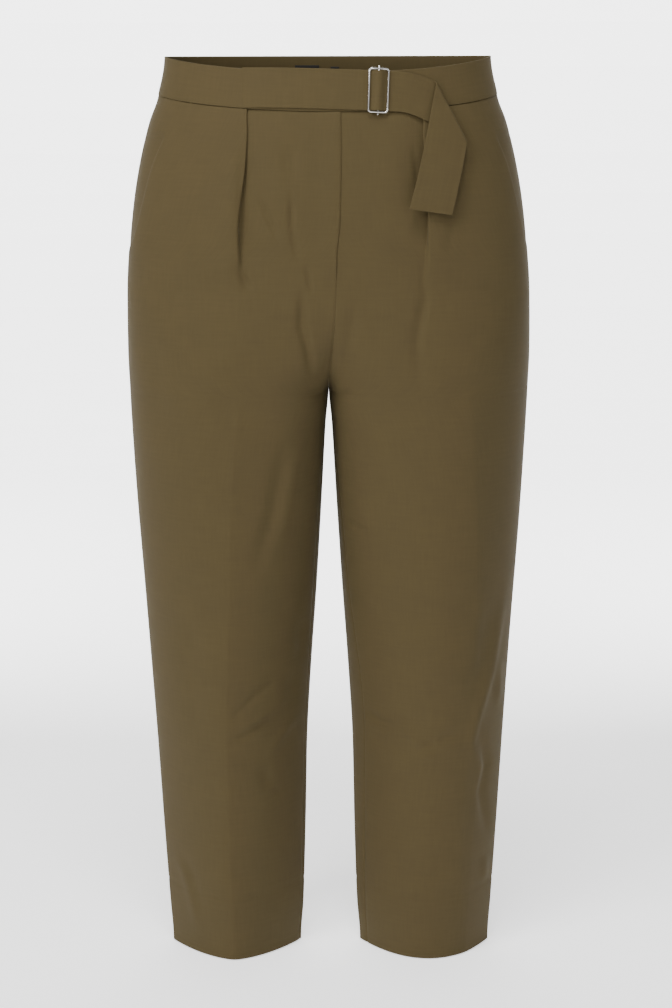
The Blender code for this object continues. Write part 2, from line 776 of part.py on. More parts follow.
def wire_object(name, points, radius, cyclic, collection):
    """A wire through points, as a mesh with filled ends."""
    curve = bpy.data.curves.new(name, "CURVE")
    curve.dimensions = "3D"
    curve.bevel_depth = radius
    curve.bevel_resolution = 2
    curve.use_fill_caps = not cyclic
    spline = curve.splines.new("POLY")
    spline.points.add(len(points) - 1)
    for target, (x, y) in zip(spline.points, points):
        target.co = (x, y, 0.0, 1.0)
    spline.use_cyclic_u = cyclic
    source = bpy.data.objects.new(f"{name}_curve", curve)
    collection.objects.link(source)
    bpy.context.view_layer.update()
    evaluated = source.evaluated_get(bpy.context.evaluated_depsgraph_get())
    mesh = bpy.data.meshes.new_from_object(evaluated)
    item = bpy.data.objects.new(name, mesh)
    collection.objects.link(item)
    bpy.data.objects.remove(source, do_unlink=True)
    return item


def weld(item):
    """Close a wire's filled ends."""
    modifier = item.modifiers.new("weld", "WELD")
    modifier.merge_threshold = WELD_DISTANCE


def build_buckle(collection, cutters, finish):
    """The slider buckle: a wire frame with its centre bar through it."""
    route = BeltRoute()
    width, height = BUCKLE_SIZE[0] - 2 * BUCKLE_WIRE, BUCKLE_SIZE[1] - 2 * BUCKLE_WIRE
    outline = rounded_frame(width, height, BUCKLE_CORNER)
    frame = wire_object("buckle", outline, BUCKLE_WIRE, True, collection)
    half_bar = BUCKLE_BAR_LENGTH / 2
    bar = wire_object("buckle_bar_guide", [(0, -half_bar), (0, half_bar)], BUCKLE_BAR, False, cutters)
    weld(frame)
    weld(bar)
    (_, z), _ = route.flat_point(route.bar, 0.0)
    side, distance = side_of(BUCKLE_X)
    angle = angle_at(z, distance)
    centre = lifted(side, angle, z, BUCKLE_PLANE)
    face = outward(side, angle, z)
    up = (Vector((0, 0, 1)) - face * face.z).normalized()
    right = up.cross(face)
    upright = Matrix((right, up, face)).transposed().to_4x4()
    place = Matrix.Translation(centre) @ upright @ Matrix.Rotation(-BUCKLE_LEAN, 4, "Z")
    frame.matrix_world = place
    bar.matrix_world = place
    bar.hide_render = True
    bar.display_type = "WIRE"
    join = frame.modifiers.new("centre bar", "BOOLEAN")
    join.operation = "UNION"
    join.object = bar
    frame.data.materials.append(new_material("buckle", *finish))
    return frame


# ---- Inside pieces -------------------------------------------------------------------------------

def inside_patch(name, side_points, rise, depth, wall, collection, finish, rows=2):
    """A small strip inside the garment, through (side, angle) columns."""
    middle = []
    for i in range(rows + 1):
        z = rise[0] + (rise[1] - rise[0]) * i / rows
        middle.append([lifted(side, angle, z, -depth) for side, angle in side_points])
    return cloth_strip(name, middle, wall, collection, finish)


def build_fly_shield(collection, finish):
    """The strip behind the fly's edge, clear of both fronts."""
    depth = CLOTH + LAYER_GAP + CLOTH / 2
    top = -BAND_HEIGHT - FRONT_DIP - SHIELD_TOP
    end = FLY_BOTTOM_Z + SHIELD_END
    rows, columns = 6, 4
    middle = []
    for r in range(rows + 1):
        z = top + (end - top) * r / rows
        xs = [FLY_SHIELD[0] + (FLY_SHIELD[1] - FLY_SHIELD[0]) * c / columns for c in range(columns + 1)]
        middle.append([front_point(x, z, -depth) for x in xs])
    return cloth_strip("fly_shield", middle, CLOTH, collection, finish)


def back_columns(span, columns, z):
    """(side, angle) columns across the inside of the back."""
    result = []
    for i in range(columns + 1):
        side, distance = side_of(span[0] + (span[1] - span[0]) * i / columns)
        result.append((side, math.pi - angle_at(z, distance)))
    return result


def build_labels(collection, label_finish, tab_finish):
    """The bare label and small tab inside the back waistband."""
    depth = BAND_WALL - BAND_PROUD + 2 * SEAM_GAP + LABEL_WALL / 2
    label = back_columns(LABEL_SPAN, 4, LABEL_RISE[0])
    tab = back_columns(TAB_SPAN, 2, TAB_RISE[0])
    inside_patch("label", label, LABEL_RISE, depth, LABEL_WALL, collection, label_finish)
    inside_patch("size_tab", tab, TAB_RISE, depth, LABEL_WALL, collection, tab_finish)


# ---- The object ----------------------------------------------------------------------------------

CLOTH_FINISH = ((0.130, 0.098, 0.038), 0.85)
METAL_FINISH = ((0.75, 0.74, 0.72), 0.22, 1.0)
LABEL_FINISH = ((0.020, 0.019, 0.017), 0.80)


def main():
    """Build every piece."""
    clear_scene()
    collection = bpy.data.collections.new("belted_pleated_trousers")
    cutters = bpy.data.collections.new("cutters")
    bpy.context.scene.collection.children.link(collection)
    bpy.context.scene.collection.children.link(cutters)
    for side in SIDES:
        leg_panel(f"front_{side}", side, True, collection, CLOTH_FINISH)
        leg_panel(f"back_{side}", side, False, collection, CLOTH_FINISH)
        pocket_facing(f"pocket_facing_{side}", side, collection, CLOTH_FINISH)
        front_band(f"waistband_front_{side}", side, collection, CLOTH_FINISH)
    back_band("waistband_back", collection, CLOTH_FINISH)
    build_fly_shield(collection, CLOTH_FINISH)
    build_belt(collection, CLOTH_FINISH)
    build_buckle(collection, cutters, METAL_FINISH)
    build_labels(collection, LABEL_FINISH, LABEL_FINISH)


main()
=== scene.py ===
"""Looks of the belted pleated trousers.

Every cut piece of cloth is made again on the frame's own surface: a finer grid, with seams, pressed
creases and soft folds. The surface goes round each leg by an angle (-90 degrees at the inseam, 0 at the
front, 90 at the side seam, 180 at the back) and down it by a height. The front faces -Y, and the wearer's
left is at +X.
"""

import logging
import math
from collections.abc import Sequence
from dataclasses import dataclass, field
from enum import Enum

import bpy
import numpy as np
from mathutils import Matrix, Vector

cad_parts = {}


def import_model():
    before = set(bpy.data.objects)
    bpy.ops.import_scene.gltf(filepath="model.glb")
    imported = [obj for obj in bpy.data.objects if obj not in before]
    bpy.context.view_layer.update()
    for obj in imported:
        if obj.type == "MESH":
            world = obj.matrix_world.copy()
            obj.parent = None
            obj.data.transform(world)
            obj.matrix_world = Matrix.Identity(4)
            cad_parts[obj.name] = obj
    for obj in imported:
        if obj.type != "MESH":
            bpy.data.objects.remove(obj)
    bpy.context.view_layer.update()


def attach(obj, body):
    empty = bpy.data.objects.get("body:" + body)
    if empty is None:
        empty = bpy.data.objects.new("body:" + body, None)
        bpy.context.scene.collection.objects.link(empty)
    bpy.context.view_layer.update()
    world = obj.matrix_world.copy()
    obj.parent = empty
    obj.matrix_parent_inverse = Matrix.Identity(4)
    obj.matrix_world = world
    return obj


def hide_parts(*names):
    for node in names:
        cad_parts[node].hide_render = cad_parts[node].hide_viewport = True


LOG = logging.getLogger("trousers")
BODY = "root"
HALF_TURN = math.pi / 2
Pairs = Sequence[tuple[float, float]]
Points = np.ndarray


class Side(Enum):
    """The wearer's side that a piece is on."""

    RIGHT = "right"
    LEFT = "left"

    @property
    def sign(self) -> int:
        """+1 on the wearer's left, which is at +X."""
        return 1 if self is Side.LEFT else -1


class CreaseKind(Enum):
    """How a crease rises beside its line."""

    SOFT = "soft"
    PRESSED = "pressed"


@dataclass(frozen=True)
class GarmentSizes:
    """Main sizes of the garment, in metres. They are the frame's own."""

    cloth: float = 0.0011
    seam_gap: float = 0.0003
    layer_gap: float = 0.0005
    length: float = 0.980
    crotch_z: float = -0.343
    crotch_height: float = 0.110
    crotch_powers: tuple[float, float] = (1.4, 1.3)
    band_height: float = 0.0385
    band_wall: float = 0.0022
    band_proud: float = 0.0008
    front_dip: float = 0.0155
    dip_fade: float = 0.080
    fly_bottom_z: float = -0.203
    fly_lap: float = 0.003
    lap_fade: float = 0.045
    fly_fade: float = 0.025
    fly_shield: tuple[float, float] = (-0.020, 0.014)
    pocket_bar_z: float = -0.076
    pocket_end_z: float = -0.206
    facing_under: float = 0.016
    facing_depth: float = 0.0024
    pleat_reach: float = 0.045
    hem_turn: float = 0.075


@dataclass(frozen=True)
class BeltSizes:
    """The belt's and buckle's sizes, in metres."""

    width: float = 0.0395
    wall: float = 0.0012
    start_x: float = -0.092
    fold_x: float = 0.0900
    fold_angle: float = math.radians(-63.5)
    tail: float = 0.1315
    tail_lift: float = 0.006
    level_z: float = -0.030
    middle_z: float = -0.0308
    sink: float = 0.0060
    droop: float = 0.0055
    droop_reach: float = 0.029
    roll: float = 0.0014
    roll_opens: float = 0.0016
    buckle_x: float = 0.041
    buckle_size: tuple[float, float] = (0.0210, 0.0445)
    wire: float = 0.0009
    bar: float = 0.0008
    bar_length: float = 0.0490
    corner: float = 0.0028
    lean: float = math.radians(3.0)


ANGLE_STEP = 0.03         # for measuring the surface's slope round a leg, in radians
HEIGHT_STEP = 0.002       # and down it, in metres
EDGE_STEPS = (0.0, 0.0006, 0.0014, 0.0026)  # places of the first columns beside a sewn edge
SEAM_ROLL = 0.0007        # how far a sewn edge rolls in
SEAM_ROLL_REACH = 0.0011
POCKET_BAR_FADE = 0.004   # height over which a pocket opens below its bar
POCKET_THINNING = 0.85    # how much thinner the panel is where it is sewn down on the facing
POCKET_THIN_REACH = 0.012
FACING_UNDER_CLOSED = 0.004
FACING_END = 0.004        # how far above the pocket's lower end the facing stops
FACING_SLIVER = 0.03      # a stretch of facing narrower than this isn't made, in radians
FACING_THICKNESS = 0.8    # of the panels' thickness
HAIR = 0.00005            # clear space between two layers sewn together
NEAR = 1e-6               # heights closer than this count as one
ROW_STEP = 0.0034         # height of a panel's rows
FLAT_TURN = 0.01          # a pleat that turns less than this lies flat, in radians
PLEAT_UNDER_STEPS = 4     # chords along the cloth under the pleat
CREASE_HOLD = 0.005       # distance from a sewn edge over which creases die out
BAND_HOLD = 0.020         # and from the waistband
HEM_START = 0.0015        # height over which the turned-up cloth begins
HEM_CLOTH = 0.9           # its thickness, of the panels'
HEM_MARK = 0.00045        # depth of the line where it is sewn
HEM_MARK_WIDTH = 0.0014
BAND_GROOVE = (0.00022, 0.0024, 0.0009)  # the waistband's stitching: depth, distance in, width
BAND_ROLL = 0.0004        # how far the waistband's sewn edge rolls in
BAND_WANDER = 0.6         # how uneven the waistband is beside the leg
BAND_SPAN = 0.1           # metres for each radian, for its unevenness
BELT_GROOVE = (0.00016, 0.0035, 0.0008)  # the belt's stitching: depth, distance in, width
BELT_START_THINNING = 0.78  # how much thinner the belt is where it is sewn down
BELT_START_REACH = 0.026
BELT_EDGE = 0.0008        # length of the first and last stations, where the ends are rounded
BELT_PROBE = 0.00015      # step for measuring the belt's slope
LABEL_WALL = 0.0010
LABEL_CLEAR = 0.0002      # space between the band's inside and a label
LABEL_EDGE = 0.0008       # how far a label thins towards its edge
LABEL_EDGE_THICKNESS = 0.35
SHIELD_OVER = 0.003       # how far the shield stops above the fly's lower end
SHIELD_UNDER_BAND = 0.002
CAP_START = 0.06          # where a wire's rounded end begins, in radians
CAP_STEPS = 7


# ---- The frame's surface -------------------------------------------------------------------------

def smoothstep(value: Points) -> Points:
    """Ease from 0 to 1.

    Args:
        value: Any number, or an array of them.

    Returns:
        0 below 0, 1 above 1, and a smooth rise between.
    """
    value = np.clip(value, 0.0, 1.0)
    return value * value * (3.0 - 2.0 * value)


class Curve:
    """A smooth curve with no overshoot through a short table of places and values."""

    def __init__(self, pairs: Pairs) -> None:
        """Find the curve's slopes.

        Args:
            pairs: (place, value) rows in any order.
        """
        rows = sorted(pairs)
        self.x = np.array([row[0] for row in rows])
        self.y = np.array([row[1] for row in rows])
        rises = np.diff(self.y) / np.diff(self.x)
        alike = rises[:-1] * rises[1:] > 0.0
        total = np.where(alike, rises[:-1] + rises[1:], 1.0)
        self.slope = np.zeros(len(rows))
        self.slope[1:-1] = np.where(alike, 2.0 * rises[:-1] * rises[1:] / total, 0.0)

    def __call__(self, x: Points) -> Points:
        """Read the curve.

        Args:
            x: Places, which are held to the table's ends.

        Returns:
            The curve's values there.
        """
        x = np.clip(np.asarray(x, float), self.x[0], self.x[-1])
        i = np.clip(np.searchsorted(self.x, x, side="right") - 1, 0, len(self.x) - 2)
        step = self.x[i + 1] - self.x[i]
        t = (x - self.x[i]) / step
        start = self.y[i] * (1 + 2 * t) * (1 - t) ** 2 + self.slope[i] * step * t * (1 - t) ** 2
        end = self.y[i + 1] * t * t * (3 - 2 * t) + self.slope[i + 1] * step * t * t * (t - 1)
        return start + end


# A leg's section at each height: half_width, leg_gap, front, back, oval, inner, outer.
SECTION_COLUMNS = ("half_width", "leg_gap", "front", "back", "oval", "inner", "outer")
SECTIONS = {
    0.000: (0.1680, 0.0, 0.084, 0.080, 1.00, 2.0, 2.00),
    -0.043: (0.1765, 0.0, 0.088, 0.087, 1.00, 2.0, 2.05),
    -0.065: (0.1850, 0.0, 0.091, 0.092, 1.00, 2.0, 2.15),
    -0.106: (0.1960, 0.0, 0.095, 0.099, 1.00, 2.0, 2.35),
    -0.148: (0.2036, 0.0, 0.097, 0.104, 1.00, 2.0, 2.55),
    -0.190: (0.2085, 0.0, 0.098, 0.107, 1.00, 2.0, 2.65),
    -0.240: (0.2122, 0.0, 0.099, 0.109, 1.00, 2.2, 2.55),
    -0.306: (0.2133, 0.0, 0.098, 0.109, 1.00, 2.9, 2.15),
    -0.343: (0.2123, 0.0, 0.096, 0.107, 1.00, 3.2, 2.00),
    -0.382: (0.2110, 0.0032, 0.094, 0.104, 0.93, 3.0, 2.00),
    -0.470: (0.2070, 0.0081, 0.089, 0.098, 0.80, 2.6, 2.00),
    -0.560: (0.2017, 0.0137, 0.084, 0.090, 0.65, 2.3, 2.00),
    -0.650: (0.1964, 0.0199, 0.079, 0.083, 0.52, 2.1, 2.00),
    -0.740: (0.1915, 0.0250, 0.073, 0.076, 0.40, 2.0, 2.00),
    -0.840: (0.1865, 0.0275, 0.066, 0.068, 0.30, 2.0, 2.00),
    -0.930: (0.1817, 0.0303, 0.060, 0.061, 0.15, 2.0, 2.00),
    -0.980: (0.1790, 0.0336, 0.057, 0.057, 0.08, 2.0, 2.00),
}

CENTRE_FRONT = ((-0.030, 0.0100), (-0.100, 0.0105), (-0.150, 0.0095), (-0.200, 0.0085),
                (-0.240, 0.0075), (-0.300, 0.0045), (-0.343, 0.0))


@dataclass(frozen=True)
class LegLines:
    """Lines down one leg: the pleat and its crease, the crease's sharpness, the inseam's turn."""

    fold_x: Curve
    crease: Curve
    inseam_turn: Curve


LEGS = {
    Side.RIGHT: LegLines(
        fold_x=Curve(((-0.040, 0.0860), (-0.110, 0.0920), (-0.174, 0.0985), (-0.343, 0.0935),
                      (-0.450, 0.1015), (-0.550, 0.1040), (-0.700, 0.1150), (-0.840, 0.1150),
                      (-0.980, 0.1065))),
        crease=Curve(((-0.040, 0.0), (-0.110, 0.0), (-0.174, 0.0), (-0.343, 0.02), (-0.450, 0.05),
                      (-0.550, 0.08), (-0.700, 0.12), (-0.840, 0.18), (-0.980, 0.33))),
        inseam_turn=Curve(((-0.040, 0.0), (-0.110, 0.0), (-0.174, 0.0), (-0.343, 0.0), (-0.450, 0.20),
                           (-0.550, 0.25), (-0.700, 0.25), (-0.840, 0.25), (-0.980, 0.22))),
    ),
    Side.LEFT: LegLines(
        fold_x=Curve(((-0.040, 0.0850), (-0.174, 0.0930), (-0.290, 0.0970), (-0.343, 0.1150),
                      (-0.450, 0.1520), (-0.550, 0.1610), (-0.700, 0.1660), (-0.840, 0.1560),
                      (-0.980, 0.1500))),
        crease=Curve(((-0.040, 0.0), (-0.174, 0.0), (-0.290, 0.0), (-0.343, 0.02), (-0.450, 0.05),
                      (-0.550, 0.07), (-0.700, 0.09), (-0.840, 0.10), (-0.980, 0.10))),
        inseam_turn=Curve(((-0.040, 0.0), (-0.174, 0.0), (-0.290, 0.0), (-0.343, 0.0), (-0.450, 0.28),
                           (-0.550, 0.38), (-0.700, 0.58), (-0.840, 0.53), (-0.980, 0.47))),
    ),
}

PLEAT_TURN = Curve(((-0.040, 180.0), (-0.085, 180.0), (-0.115, 165.0), (-0.145, 125.0),
                    (-0.175, 90.0), (-0.205, 50.0), (-0.240, 0.0)))
PLEAT_UNDER = Curve(((-0.040, 0.020), (-0.085, 0.012), (-0.115, 0.006), (-0.145, 0.003),
                     (-0.175, 0.003), (-0.205, 0.003), (-0.240, 0.003)))
PLEAT_PROUD = Curve(((-0.040, 0.12), (-0.085, 0.20), (-0.115, 0.35), (-0.145, 0.55),
                     (-0.175, 0.60), (-0.205, 0.60), (-0.240, 0.50)))
POCKET_EDGE = Curve(((-0.040, 1.05), (-0.076, 1.11), (-0.113, 1.20), (-0.148, 1.26),
                     (-0.182, 1.36), (-0.206, HALF_TURN)))


def tent(u: Points, ridge: Points, softness: float = 0.08) -> Points:
    """A soft-tipped ridge.

    Args:
        u: Places from -1 to 1.
        ridge: Where the ridge is.
        softness: How round its tip is.

    Returns:
        1 at the ridge, falling to 0 at both edges.
    """
    v = (u - ridge) / np.where(u > ridge, 1.0 - ridge, 1.0 + ridge)
    return 1.0 - (np.hypot(v, softness) - softness) / (math.hypot(1.0, softness) - softness)


class GarmentForm:
    """The outside of the garment, the same as the frame's."""

    def __init__(self, sizes: GarmentSizes) -> None:
        """Make the section curves.

        Args:
            sizes: The garment's main sizes.
        """
        self.sizes = sizes
        self.body = {name: Curve([(z, row[i]) for z, row in SECTIONS.items()])
                     for i, name in enumerate(SECTION_COLUMNS)}
        self.shift = Curve(CENTRE_FRONT)

    def leg_section(self, z: Points) -> tuple[Points, Points]:
        """Find one leg's section.

        Args:
            z: Heights.

        Returns:
            The section's centre and its half-width.
        """
        outer = self.body["half_width"](z)
        rise = np.clip((z - self.sizes.crotch_z) / self.sizes.crotch_height, 0.0, 1.0)
        lobe = (1.0 - rise ** self.sizes.crotch_powers[0]) ** self.sizes.crotch_powers[1]
        joined = -outer * (1.0 - lobe) / (1.0 + lobe)
        inner = np.where(z >= self.sizes.crotch_z, joined, self.body["leg_gap"](z))
        return (outer + inner) / 2, (outer - inner) / 2

    def surface(self, side: Side, angle: Points, z: Points) -> Points:
        """Find points on the outside.

        Args:
            side: Which leg's surface.
            angle: Angles round the leg.
            z: Heights.

        Returns:
            The points, with their coordinates in the last axis.
        """
        angle, z = np.broadcast_arrays(np.asarray(angle, float), np.asarray(z, float))
        centre, half = self.leg_section(z)
        across, ahead = np.sin(angle), np.cos(angle)
        at_front = ahead >= 0.0
        crease = LEGS[side].crease(z)
        oval = self.body["oval"](z)
        ridge = np.where(at_front, (LEGS[side].fold_x(z) - centre) / half, 0.0)
        square = np.where(across < 0.0, self.body["inner"](z), self.body["outer"](z))
        rounded = np.clip(1.0 - np.abs(across) ** square, 0.0, 1.0) ** (1.0 / square)
        bow = oval * rounded + (1.0 - oval - crease) * ahead * ahead + crease * tent(across, ridge)
        depth = np.where(at_front, -self.body["front"](z), self.body["back"](z))
        x = side.sign * (centre + half * across) + np.where(at_front, self.shift(z) * bow * bow, 0.0)
        return np.stack([x, depth * bow, z], axis=-1)

    def around(self, side: Side, angle: Points, z: Points) -> Points:
        """Find the unit tangent round a leg.

        Args:
            side: Which leg's surface.
            angle: Angles round the leg.
            z: Heights.

        Returns:
            Unit vectors, averaged across a crease or a seam.
        """
        step = self.surface(side, angle + ANGLE_STEP, z) - self.surface(side, angle - ANGLE_STEP, z)
        return unit(step)

    def outward(self, side: Side, angle: Points, z: Points) -> Points:
        """Find the outward unit normal.

        Args:
            side: Which leg's surface.
            angle: Angles round the leg.
            z: Heights.

        Returns:
            Unit vectors.
        """
        down = self.surface(side, angle, z - HEIGHT_STEP) - self.surface(side, angle, z + HEIGHT_STEP)
        return -unit(np.cross(self.around(side, angle, z), down) * side.sign)

    def lifted(self, side: Side, angle: Points, z: Points, height: Points) -> Points:
        """Find points at a height over the surface.

        Args:
            side: Which leg's surface.
            angle: Angles round the leg.
            z: Heights down the garment.
            height: Heights over the surface, negative inside.

        Returns:
            The points.
        """
        height = np.asarray(height, float)[..., None]
        return self.surface(side, angle, z) + self.outward(side, angle, z) * height

    def metric(self, side: Side, angle: Points, z: Points) -> Points:
        """Find how many metres there are round the leg for each radian.

        Args:
            side: Which leg's surface.
            angle: Angles round the leg.
            z: Heights.

        Returns:
            Metres for each radian.
        """
        step = self.surface(side, angle + ANGLE_STEP, z) - self.surface(side, angle - ANGLE_STEP, z)
        return np.linalg.norm(step, axis=-1) / (2 * ANGLE_STEP)

    def angle_at(self, z: Points, x: Points) -> Points:
        """Find the front's angle at a distance from the garment's middle.

        Args:
            z: Heights.
            x: Distances from the middle.

        Returns:
            Angles round the leg.
        """
        centre, half = self.leg_section(z)
        return np.arcsin(np.clip((x - centre) / half, -1.0, 1.0))

    def dip(self, angle: Points) -> Points:
        """Find how far the front of the waist is cut below its sides.

        Args:
            angle: Angles round the garment.

        Returns:
            Drops, in metres.
        """
        return self.sizes.front_dip * np.maximum(np.cos(angle), 0.0) ** 1.5

    def dropped(self, nominal: Points, angle: Points) -> Points:
        """Find the real height of a row, which follows the dip of the waist seam near it.

        Args:
            nominal: The rows' heights at the side seam.
            angle: Angles round the leg.

        Returns:
            Heights.
        """
        fade = 1.0 - smoothstep((-self.sizes.band_height - nominal) / self.sizes.dip_fade)
        return nominal - self.dip(angle) * fade

    def front_point(self, x: Points, z: Points, height: Points) -> Points:
        """Find points over the garment's front by their distance across it.

        Args:
            x: Distances across, to +X.
            z: Heights.
            height: Heights over the surface.

        Returns:
            The points.
        """
        x, z, height = np.broadcast_arrays(x, z, height)
        angle = self.angle_at(z, np.abs(x))
        on_left = self.lifted(Side.LEFT, angle, z, height)
        on_right = self.lifted(Side.RIGHT, angle, z, height)
        return np.where((x >= 0.0)[..., None], on_left, on_right)


def unit(vectors: Points) -> Points:
    """Scale vectors to length 1.

    Args:
        vectors: Vectors in the last axis.

    Returns:
        Unit vectors.
    """
    return vectors / np.maximum(np.linalg.norm(vectors, axis=-1, keepdims=True), 1e-12)


# ---- Creases -------------------------------------------------------------------------------------

@dataclass(frozen=True)
class Crease:
    """A trough or ridge in the cloth, along a line seen from the front or the back."""

    line: Pairs
    width: float
    height: float
    kind: CreaseKind = CreaseKind.SOFT
    fade: float = 0.35

    def relief(self, x: Points, z: Points) -> Points:
        """Find the crease's height.

        Args:
            x: Places across the garment.
            z: Heights.

        Returns:
            Heights to add over the surface.
        """
        ends = np.array(self.line)
        lengths = np.hypot(*np.diff(ends, axis=0).T)
        starts = np.concatenate([[0.0], np.cumsum(lengths)])
        nearest = np.full(np.shape(x), np.inf)
        along = np.zeros(np.shape(x))
        for a, b, length, start in zip(ends, ends[1:], lengths, starts):
            t = np.clip(((x - a[0]) * (b[0] - a[0]) + (z - a[1]) * (b[1] - a[1])) / length ** 2, 0.0, 1.0)
            distance = np.hypot(x - a[0] - t * (b[0] - a[0]), z - a[1] - t * (b[1] - a[1]))
            along = np.where(distance < nearest, (start + t * length) / starts[-1], along)
            nearest = np.minimum(nearest, distance)
        taper = smoothstep(along / self.fade) * smoothstep((1.0 - along) / self.fade)
        across = nearest / self.width
        profile = np.exp(-across * across)
        if self.kind is CreaseKind.PRESSED:
            profile = np.exp(-(np.hypot(across, 0.25) - 0.25))
        return self.height * taper * profile


def mirrored(creases: Sequence[Crease]) -> list[Crease]:
    """Turn creases over to the other leg.

    Args:
        creases: Creases of one leg.

    Returns:
        The same creases at the opposite X.
    """
    return [Crease([(-x, z) for x, z in c.line], c.width, c.height, c.kind, c.fade) for c in creases]


MM = 0.001

FRONT_RIGHT_CREASES = [
    # The cloth sinks beside the pleat's fold, where it comes out from under it.
    Crease(((-0.080, -0.070), (-0.085, -0.110), (-0.087, -0.150), (-0.088, -0.212)), 5 * MM, -2.8 * MM),
    # Beside the fly: a drag line off the pleat, a bowed line and a broad hollow.
    Crease(((-0.072, -0.130), (-0.060, -0.158), (-0.046, -0.188)), 3 * MM, -2.2 * MM),
    Crease(((-0.036, -0.125), (-0.037, -0.165), (-0.033, -0.187), (-0.028, -0.208)), 3 * MM, -2.2 * MM),
    Crease(((-0.024, -0.204), (-0.015, -0.236)), 2.6 * MM, -1.8 * MM),
    Crease(((-0.036, -0.075), (-0.037, -0.130)), 8 * MM, -1.4 * MM),
    # The fly's lower end, where it is held by a short bar.
    Crease(((-0.010, -0.205), (0.009, -0.205)), 1.4 * MM, -1.2 * MM, fade=0.15),
    # Down from the fly into the crotch.
    Crease(((-0.026, -0.222), (-0.027, -0.270), (-0.021, -0.290), (-0.014, -0.330)), 5 * MM, -3.6 * MM),
    # Where the pleat dies out.
    Crease(((-0.090, -0.196), (-0.090, -0.214), (-0.074, -0.236)), 4 * MM, -2.6 * MM),
    # The pressed crease.
    Crease(((-0.089, -0.320), (-0.098, -0.410), (-0.103, -0.486), (-0.106, -0.584), (-0.111, -0.696),
            (-0.111, -0.755), (-0.106, -0.985)), 9 * MM, 1.4 * MM, CreaseKind.PRESSED, fade=0.12),
    # A long drag down the inner thigh, with a ridge beside it.
    Crease(((-0.042, -0.375), (-0.059, -0.470), (-0.071, -0.508), (-0.082, -0.550)), 8 * MM, -2.0 * MM),
    Crease(((-0.030, -0.385), (-0.046, -0.475), (-0.056, -0.515)), 8 * MM, 1.4 * MM),
    Crease(((-0.146, -0.427), (-0.116, -0.435)), 2.5 * MM, -0.8 * MM),
    Crease(((-0.140, -0.434), (-0.122, -0.440)), 2.5 * MM, -0.6 * MM),
    # The knee.
    Crease(((-0.110, -0.697), (-0.080, -0.671), (-0.050, -0.650)), 5 * MM, -1.9 * MM),
    Crease(((-0.109, -0.722), (-0.080, -0.708), (-0.056, -0.697)), 5 * MM, -1.9 * MM),
    Crease(((-0.100, -0.712), (-0.070, -0.692), (-0.040, -0.676)), 6 * MM, 1.2 * MM),
    Crease(((-0.074, -0.748), (-0.045, -0.712), (-0.027, -0.702)), 6 * MM, 1.7 * MM),
    Crease(((-0.074, -0.750), (-0.065, -0.782)), 6 * MM, -1.6 * MM),
    Crease(((-0.060, -0.780), (-0.053, -0.794)), 5 * MM, -1.1 * MM),
    # The inner side above the knee.
    Crease(((-0.030, -0.585), (-0.031, -0.650)), 7 * MM, -1.9 * MM),
    Crease(((-0.042, -0.648), (-0.042, -0.700)), 7 * MM, -1.6 * MM),
    # Low on the outer side.
    Crease(((-0.176, -0.862), (-0.162, -0.888), (-0.155, -0.913), (-0.148, -0.960)), 6 * MM, 1.4 * MM),
    Crease(((-0.166, -0.860), (-0.152, -0.890), (-0.144, -0.930)), 6 * MM, -0.9 * MM),
    # The outer side below the pocket, and a hollow under the hip.
    Crease(((-0.186, -0.250), (-0.178, -0.330), (-0.172, -0.400)), 14 * MM, -1.2 * MM),
    Crease(((-0.150, -0.560), (-0.146, -0.640), (-0.150, -0.730)), 14 * MM, -1.4 * MM),
]

FRONT_LEFT_CREASES = [
    # The cloth sinks beside the pleat's fold, and its trough carries on below the belt's tail.
    Crease(((0.084, -0.070), (0.089, -0.110), (0.093, -0.150)), 3 * MM, -0.9 * MM),
    Crease(((0.094, -0.190), (0.099, -0.240), (0.093, -0.267), (0.090, -0.286), (0.094, -0.340)),
           6 * MM, -2.2 * MM),
    Crease(((0.125, -0.172), (0.120, -0.200)), 4 * MM, -1.1 * MM),
    Crease(((0.140, -0.106), (0.147, -0.132)), 3 * MM, -0.8 * MM),
    Crease(((0.030, -0.235), (0.022, -0.285), (0.012, -0.332)), 7 * MM, -1.7 * MM),
    # The pressed crease.
    Crease(((0.118, -0.300), (0.144, -0.330), (0.148, -0.370), (0.152, -0.422), (0.156, -0.523),
            (0.158, -0.698), (0.147, -0.770), (0.142, -0.815), (0.146, -0.985)),
           9 * MM, 1.2 * MM, CreaseKind.PRESSED, fade=0.12),
    Crease(((0.140, -0.335), (0.120, -0.363)), 6 * MM, -0.9 * MM),
    Crease(((0.016, -0.483), (0.044, -0.492)), 3.5 * MM, -1.2 * MM),
    Crease(((0.070, -0.380), (0.058, -0.470), (0.052, -0.560)), 14 * MM, -1.4 * MM),
    # The knee.
    Crease(((0.036, -0.699), (0.072, -0.709)), 5 * MM, -1.9 * MM),
    Crease(((0.076, -0.704), (0.101, -0.729)), 6 * MM, 1.9 * MM),
    Crease(((0.102, -0.719), (0.113, -0.726)), 5 * MM, -1.7 * MM),
    Crease(((0.110, -0.724), (0.127, -0.715), (0.144, -0.716)), 5 * MM, -1.7 * MM),
    Crease(((0.090, -0.742), (0.104, -0.738), (0.117, -0.742)), 5 * MM, 1.2 * MM),
    # The outer side.
    Crease(((0.193, -0.537), (0.174, -0.650), (0.157, -0.704), (0.151, -0.727), (0.164, -0.758),
            (0.171, -0.805)), 6 * MM, 3.0 * MM),
    Crease(((0.184, -0.632), (0.185, -0.702)), 5 * MM, 1.8 * MM),
    Crease(((0.162, -0.706), (0.171, -0.758), (0.166, -0.790), (0.177, -0.856)), 5 * MM, -2.8 * MM),
    Crease(((0.172, -0.868), (0.173, -0.905)), 5 * MM, 1.8 * MM),
    Crease(((0.172, -0.560), (0.162, -0.640), (0.148, -0.690)), 8 * MM, -1.7 * MM),
]

